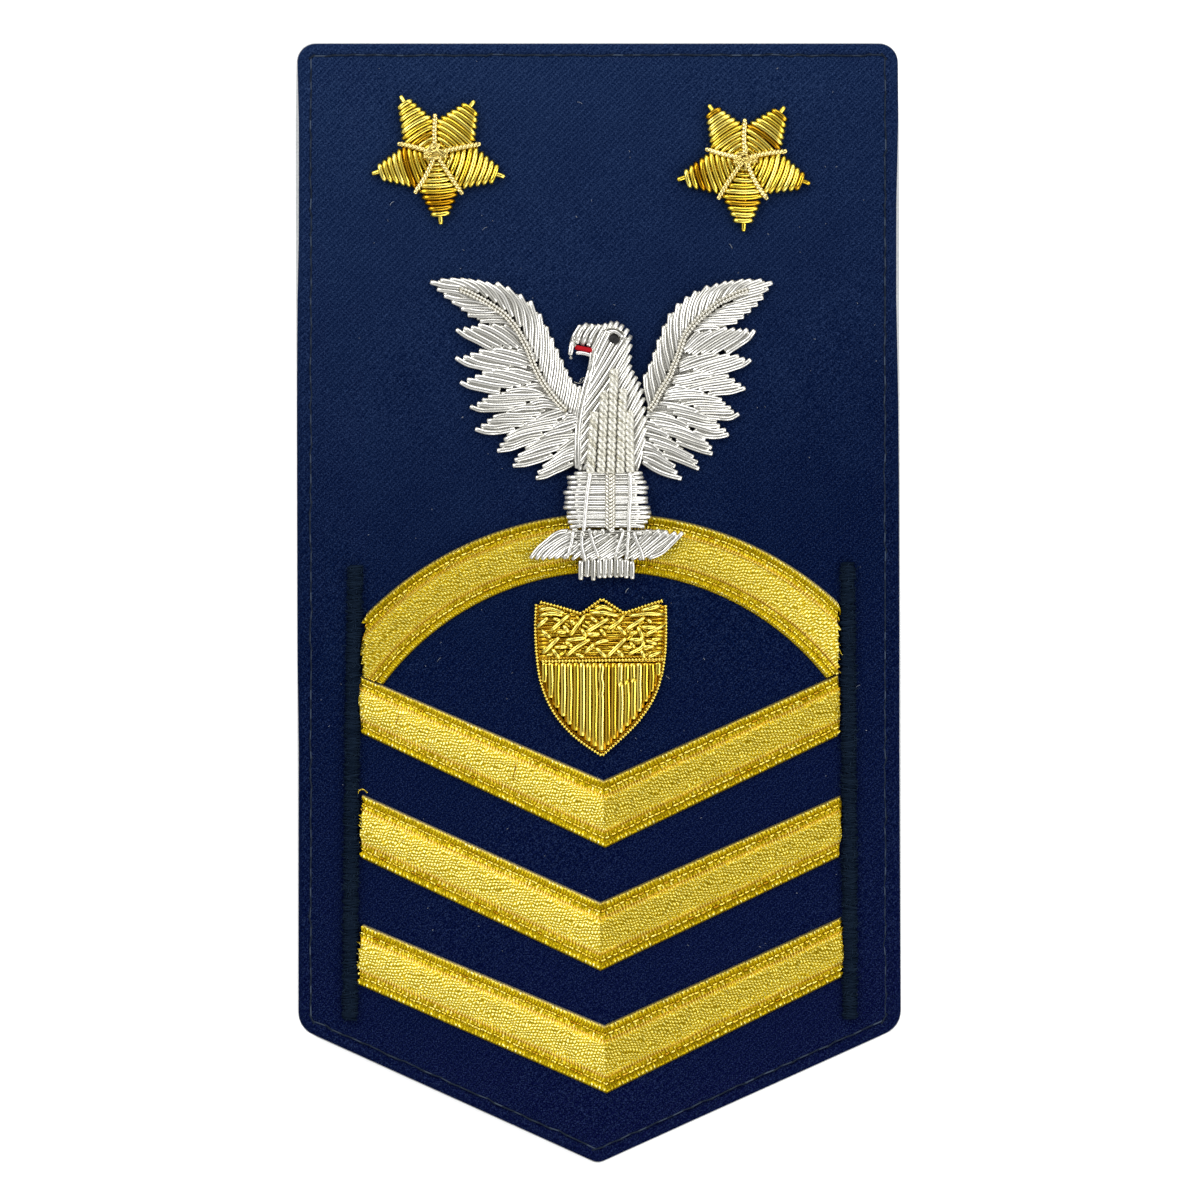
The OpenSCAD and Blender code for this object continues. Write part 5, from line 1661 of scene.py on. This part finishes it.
def shield_chief():
    """The upper part: level wires tinted dark as painted shade under the rest, short random ones over
    them, and bright ones on top.
    """
    outline = shield_outline()
    chief = Bundle(8)
    # Painted shade: the ground wires under the rest are tinted dark
    for row in CHIEF_ROWS:
        y = at(0, row)[0][1]
        for a, b in spans(outline, y, 1):
            if b - a < 2 * MM:
                continue
            across = np.linspace(a + 0.5 * MM, b - 0.5 * MM, 20)
            line = wavy(np.column_stack([across, np.full(20, y)]), 0.1 * MM)
            z = shield_level(line, CHIEF_GROUND) - 0.42 * MM
            chief.lay(at_level(line, z), CHIEF_GROUND, rng.uniform(0.04, 0.2))
    for _ in range(CHIEF_STITCHES):
        place = np.array([rng.uniform(*CHIEF_ACROSS), rng.uniform(*CHIEF_DOWN)])
        turn = rng.choice(CHIEF_TURNS) + rng.normal(0, 0.2)
        reach = rng.uniform(2.0, 4.5) * np.array([math.cos(turn), -math.sin(turn)])
        line = bowed(at(*(place - reach))[0], at(*(place + reach))[0], rng.uniform(-0.1, 0.1), 6)
        z = shield_level(line, 0.3 * MM) + arched(6, 0.12 * MM) - 0.05 * MM
        chief.lay(at_level(line, z), rng.uniform(0.22, 0.28) * MM, rng.uniform(0.2, 0.7))
    for row in CHIEF_WIRES:
        line = smooth(at(*row), 8)
        z = shield_level(line, 0.3 * MM) + arched(8, 0.30 * MM) + 0.22 * MM
        chief.lay(at_level(line, z), rng.uniform(0.33, 0.39) * MM, rng.uniform(0.6, 1.0))
    chief.piece("shield_chief_wires", GOLD, "gold_wire", "shield_chief")


def shield_border():
    """Beaded cords round the shield, with a dark line of painted shade inside the two sides."""
    border = Bundle(7)
    z = ON_CLOTH + 0.34 * MM
    for edge in SHIELD_TOP_EDGE:
        line = at_level(smooth(at(*edge), 24), z + 0.14 * MM)
        border.lay_beads(line, 0.42 * MM, 0.58 * MM, 0.8, waist=0.3, per_bead=6)
    for places in (SHIELD_LEFT[2:], SHIELD_RIGHT[2:]):
        line = smooth(at(*places), 90)
        cord = at_level(line, z + 0.04 * MM)
        border.lay_beads(cord, 0.36 * MM, 0.56 * MM, 0.8, waist=0.25, per_bead=6)
        # Painted shade: a dark wire inside the border
        inner = line + (at(*SHIELD_MIDDLE)[0] - line) * BORDER_INSET
        border.lay(at_level(inner, z - 0.1 * MM), 0.22 * MM, 0.0)
    border.piece("shield_border_cord", GOLD, "gold_wire", "shield_border")


def shield_divider():
    """The beaded cord between chief and stripes, with a thinner one above it."""
    divider = Bundle(8)
    line = smooth(at(*SHIELD_DIVIDER), 40)
    z = shield_level(line, 0.3 * MM) + 0.12 * MM
    divider.lay_beads(at_level(line, z), 0.34 * MM, 0.56 * MM, 0.9, waist=0.25, per_bead=6)
    above = at_level(line + [0, 0.5 * MM], z - 0.2 * MM)
    divider.lay_beads(above, 0.24 * MM, 0.6 * MM, 0.1, waist=0.4)
    divider.piece("shield_divider_cord", GOLD, "gold_wire", "shield_divider")


# STARS

# Each star: its centre, its five tips and the valleys after them, anticlockwise from the upper right tip
STARS = {
    "left": ((436, 155), [(474, 102), (401, 97), (373, 174), (441, 224), (504, 177)],
             [(435.5, 121), (404, 146), (418, 189), (459.5, 190), (475, 146)]),
    "right": ((744.5, 160), [(784, 108), (709, 106), (678, 180), (743.5, 231), (809, 184)],
              [(744.5, 126), (711, 151.5), (721, 195), (764, 195), (780.5, 153)]),
}


STAR_WIRES = 10
STAR_WIRE = 0.46 * MM
# Places of an arm's outermost and innermost wires, as shares of its length
OUTERMOST, INNERMOST = 0.87, 0.14
# Level cords of the knot at the star's middle: how far off it they lie, in millimetres
KNOT_CORDS = (-0.25, 0.35)
KNOT_THREADS = 11


def arm_width(valley, ahead, aside, run, rho):
    """Half-width of an arm on a valley's side, at that distance from the star's centre."""
    along, off = valley @ ahead, abs(valley @ aside)
    if rho > along:
        return off * (1.04 - (rho - along) / (run * 1.12 - along))
    return off * max(rho / along, 0.12)


def star_wires(side):
    """Wires laid across each arm from its tip inwards, over a dark core that shows as painted shade
    in their gaps, with one along the tip.
    """
    middle, tips, valleys = STARS[side]
    centre = at(*middle)[0]
    bundle = Bundle(8)
    u = np.linspace(-1, 1, 11)
    dome = 0.25 + 0.75 * np.sqrt(np.clip(1 - np.abs(u) ** 3, 0, 1))
    for k, place in enumerate(tips):
        tip = at(*place)[0]
        after, before = at(*valleys[k])[0] - centre, at(*valleys[k - 1])[0] - centre
        run = np.linalg.norm(tip - centre)
        ahead = (tip - centre) / run
        aside = np.array([-ahead[1], ahead[0]])
        for j in range(STAR_WIRES):
            rho = run * (OUTERMOST - (OUTERMOST - INNERMOST) * j / (STAR_WIRES - 1))
            reach = [arm_width(valley, ahead, aside, run, rho) for valley in (after, before)]
            w = np.where(u > 0, reach[0], reach[1]) - 0.15 * MM
            bend = -0.10 * np.mean(reach) * u**2
            skew = rng.normal(0, 0.05 * MM)
            line = centre + ahead * (rho + bend + skew * u)[:, None] + aside * (u * w)[:, None]
            crown = (STAR_TOP - ON_CLOTH - STAR_WIRE * 1.6) * (1 - 0.45 * (rho / run) ** 1.5)
            z = ON_CLOTH + STAR_WIRE * 0.8 + crown * dome
            bundle.lay(at_level(line, z), STAR_WIRE * rng.uniform(0.94, 1.02))
        spike = smooth([centre + ahead * run * 0.84, tip], 5)
        bundle.lay(at_level(spike, ON_CLOTH + np.linspace(0.75, 0.45, 5) * MM), 0.42 * MM)
        # Painted shade: dark core that shows in the gaps between the arm's wires
        core = smooth([centre, centre + ahead * run * 0.8], 8)
        width = np.linspace(1.0, 0.45, 8) * MM
        bundle.lay(at_level(core, ON_CLOTH + np.linspace(0.75, 0.5, 8) * MM), width, 0.0)
    bundle.piece(side + "_star_wires", GOLD, "gold_wire", side + "_star")


def star_cords(side):
    """A twisted cord in each valley with a stitch at its end, and the knot at the middle."""
    middle, _, valleys = STARS[side]
    centre = at(*middle)[0]
    cords = Bundle(8)
    for place in valleys:
        valley = at(*place)[0]
        out = (valley - centre) / np.linalg.norm(valley - centre)
        line = bowed(centre + out * 0.7 * MM, valley + out * 0.5 * MM, rng.normal(0, 0.05), 14)
        path = at_level(line, STAR_TOP + 0.35 * MM - np.linspace(0, 1, 14) ** 2 * 0.95 * MM)
        cords.lay_twist(path, 0.47 * MM, 0.25 * MM, 1.32 * MM, tint=rng.uniform(0.5, 1))
        end = smooth([line[-1] - out * 0.1 * MM, line[-1] + out * 0.45 * MM], 4)
        cords.lay(at_level(end, ON_CLOTH + 1.0 * MM), 0.40 * MM, 0.5)
    for off in KNOT_CORDS:
        ends = np.array([[-1.9, off - 0.3], [-0.5, off - 0.6], [0.8, off - 0.4], [2.0, off - 0.1]])
        path = at_level(smooth(centre + ends * MM, 12), STAR_TOP + 0.5 * MM)
        cords.lay_twist(path, 0.40 * MM, 0.22 * MM, 1.3 * MM, tint=0.2)
    for _ in range(KNOT_THREADS):
        c = centre + rng.normal(0, 0.6 * MM, 2)
        turn = rng.uniform(0, math.pi)
        reach = rng.uniform(0.5, 1.1) * MM * np.array([math.cos(turn), math.sin(turn)])
        line = bowed(c - reach, c + reach, rng.uniform(-0.2, 0.2), 7)
        z = STAR_TOP + rng.uniform(0.3, 0.8) * MM + arched(7, 0.15 * MM)
        cords.lay(at_level(line, z), rng.uniform(0.17, 0.27) * MM, rng.uniform(0, 0.35))
    cords.piece(side + "_star_twists", GILT_CORD, "pale_cord", side + "_star_cords")


# STUDIO

def studio():
    """A white floor, soft lights all round, and the camera straight above."""
    scene = bpy.context.scene
    floor = bpy.data.meshes.new("floor")
    bm = bmesh.new()
    bmesh.ops.create_grid(bm, x_segments=1, y_segments=1, size=3)
    bm.to_mesh(floor)
    bm.free()
    plane = bpy.data.objects.new("floor", floor)
    scene.collection.objects.link(plane)
    white = Shader("floor_white", Base_Color=(0.92, 0.92, 0.92, 1), Roughness=1.0, Specular_IOR_Level=0.0)
    floor.materials.append(white.material)

    world = bpy.data.worlds.new("studio")
    scene.world = world
    world.use_nodes = True
    world.node_tree.nodes["Background"].inputs[0].default_value = (1, 1, 1, 1)
    world.node_tree.nodes["Background"].inputs[1].default_value = 0.78

    # Soft lights: place, size, watts
    for name, place, size, watts in (
        ("key", (-0.48, 0.34, 0.50), 0.40, 3.8),
        ("second", (0.56, 0.06, 0.46), 0.36, 2.4),
        ("head", (0.10, 0.66, 0.44), 0.45, 2.2),
        ("foot", (0.22, -0.58, 0.42), 0.50, 2.6),
    ):
        data = bpy.data.lights.new(name, "AREA")
        data.size = size
        data.energy = watts
        light = bpy.data.objects.new(name, data)
        light.location = place
        aim = -light.location
        light.rotation_euler = aim.to_track_quat("-Z", "Y").to_euler()
        scene.collection.objects.link(light)

    # A dark disc overhead, which polished wire mirrors as a dark line along its top
    disc = bpy.data.meshes.new("overhead_disc")
    bm = bmesh.new()
    bmesh.ops.create_circle(bm, cap_ends=True, segments=48, radius=0.26)
    bm.to_mesh(disc)
    bm.free()
    flag = bpy.data.objects.new("overhead_disc", disc)
    flag.location = (0, 0, 0.60)
    flag.visible_camera = False
    scene.collection.objects.link(flag)
    black = Shader("disc_black", Base_Color=(0.01, 0.01, 0.01, 1), Roughness=1.0, Specular_IOR_Level=0.0)
    disc.materials.append(black.material)

    lens = bpy.data.cameras.new("camera")
    lens.lens = 100
    lens.sensor_width = 36
    lens.clip_start = 0.01
    camera = bpy.data.objects.new("camera", lens)
    middle = at(GRID_SIZE / 2, GRID_SIZE / 2)[0]
    width = GRID_SIZE * GRID_STEP
    camera.location = (middle[0], middle[1], CLOTH_TOP + width * lens.lens / lens.sensor_width)
    scene.collection.objects.link(camera)
    scene.camera = camera
    scene.view_settings.view_transform = "Standard"


backing_sheet()
cloth_panel()
lint()
rocker()
chevrons()
loose_loop()
end_bars()
wings()
eagle_body()
mouth()
eye()
breast_braids()
tail_block()
tail_strands()
tail_braid()
perch()
tail_tip()
shield_stripes()
shield_chief()
shield_border()
shield_divider()
for side in STARS:
    star_wires(side)
    star_cords(side)
studio()
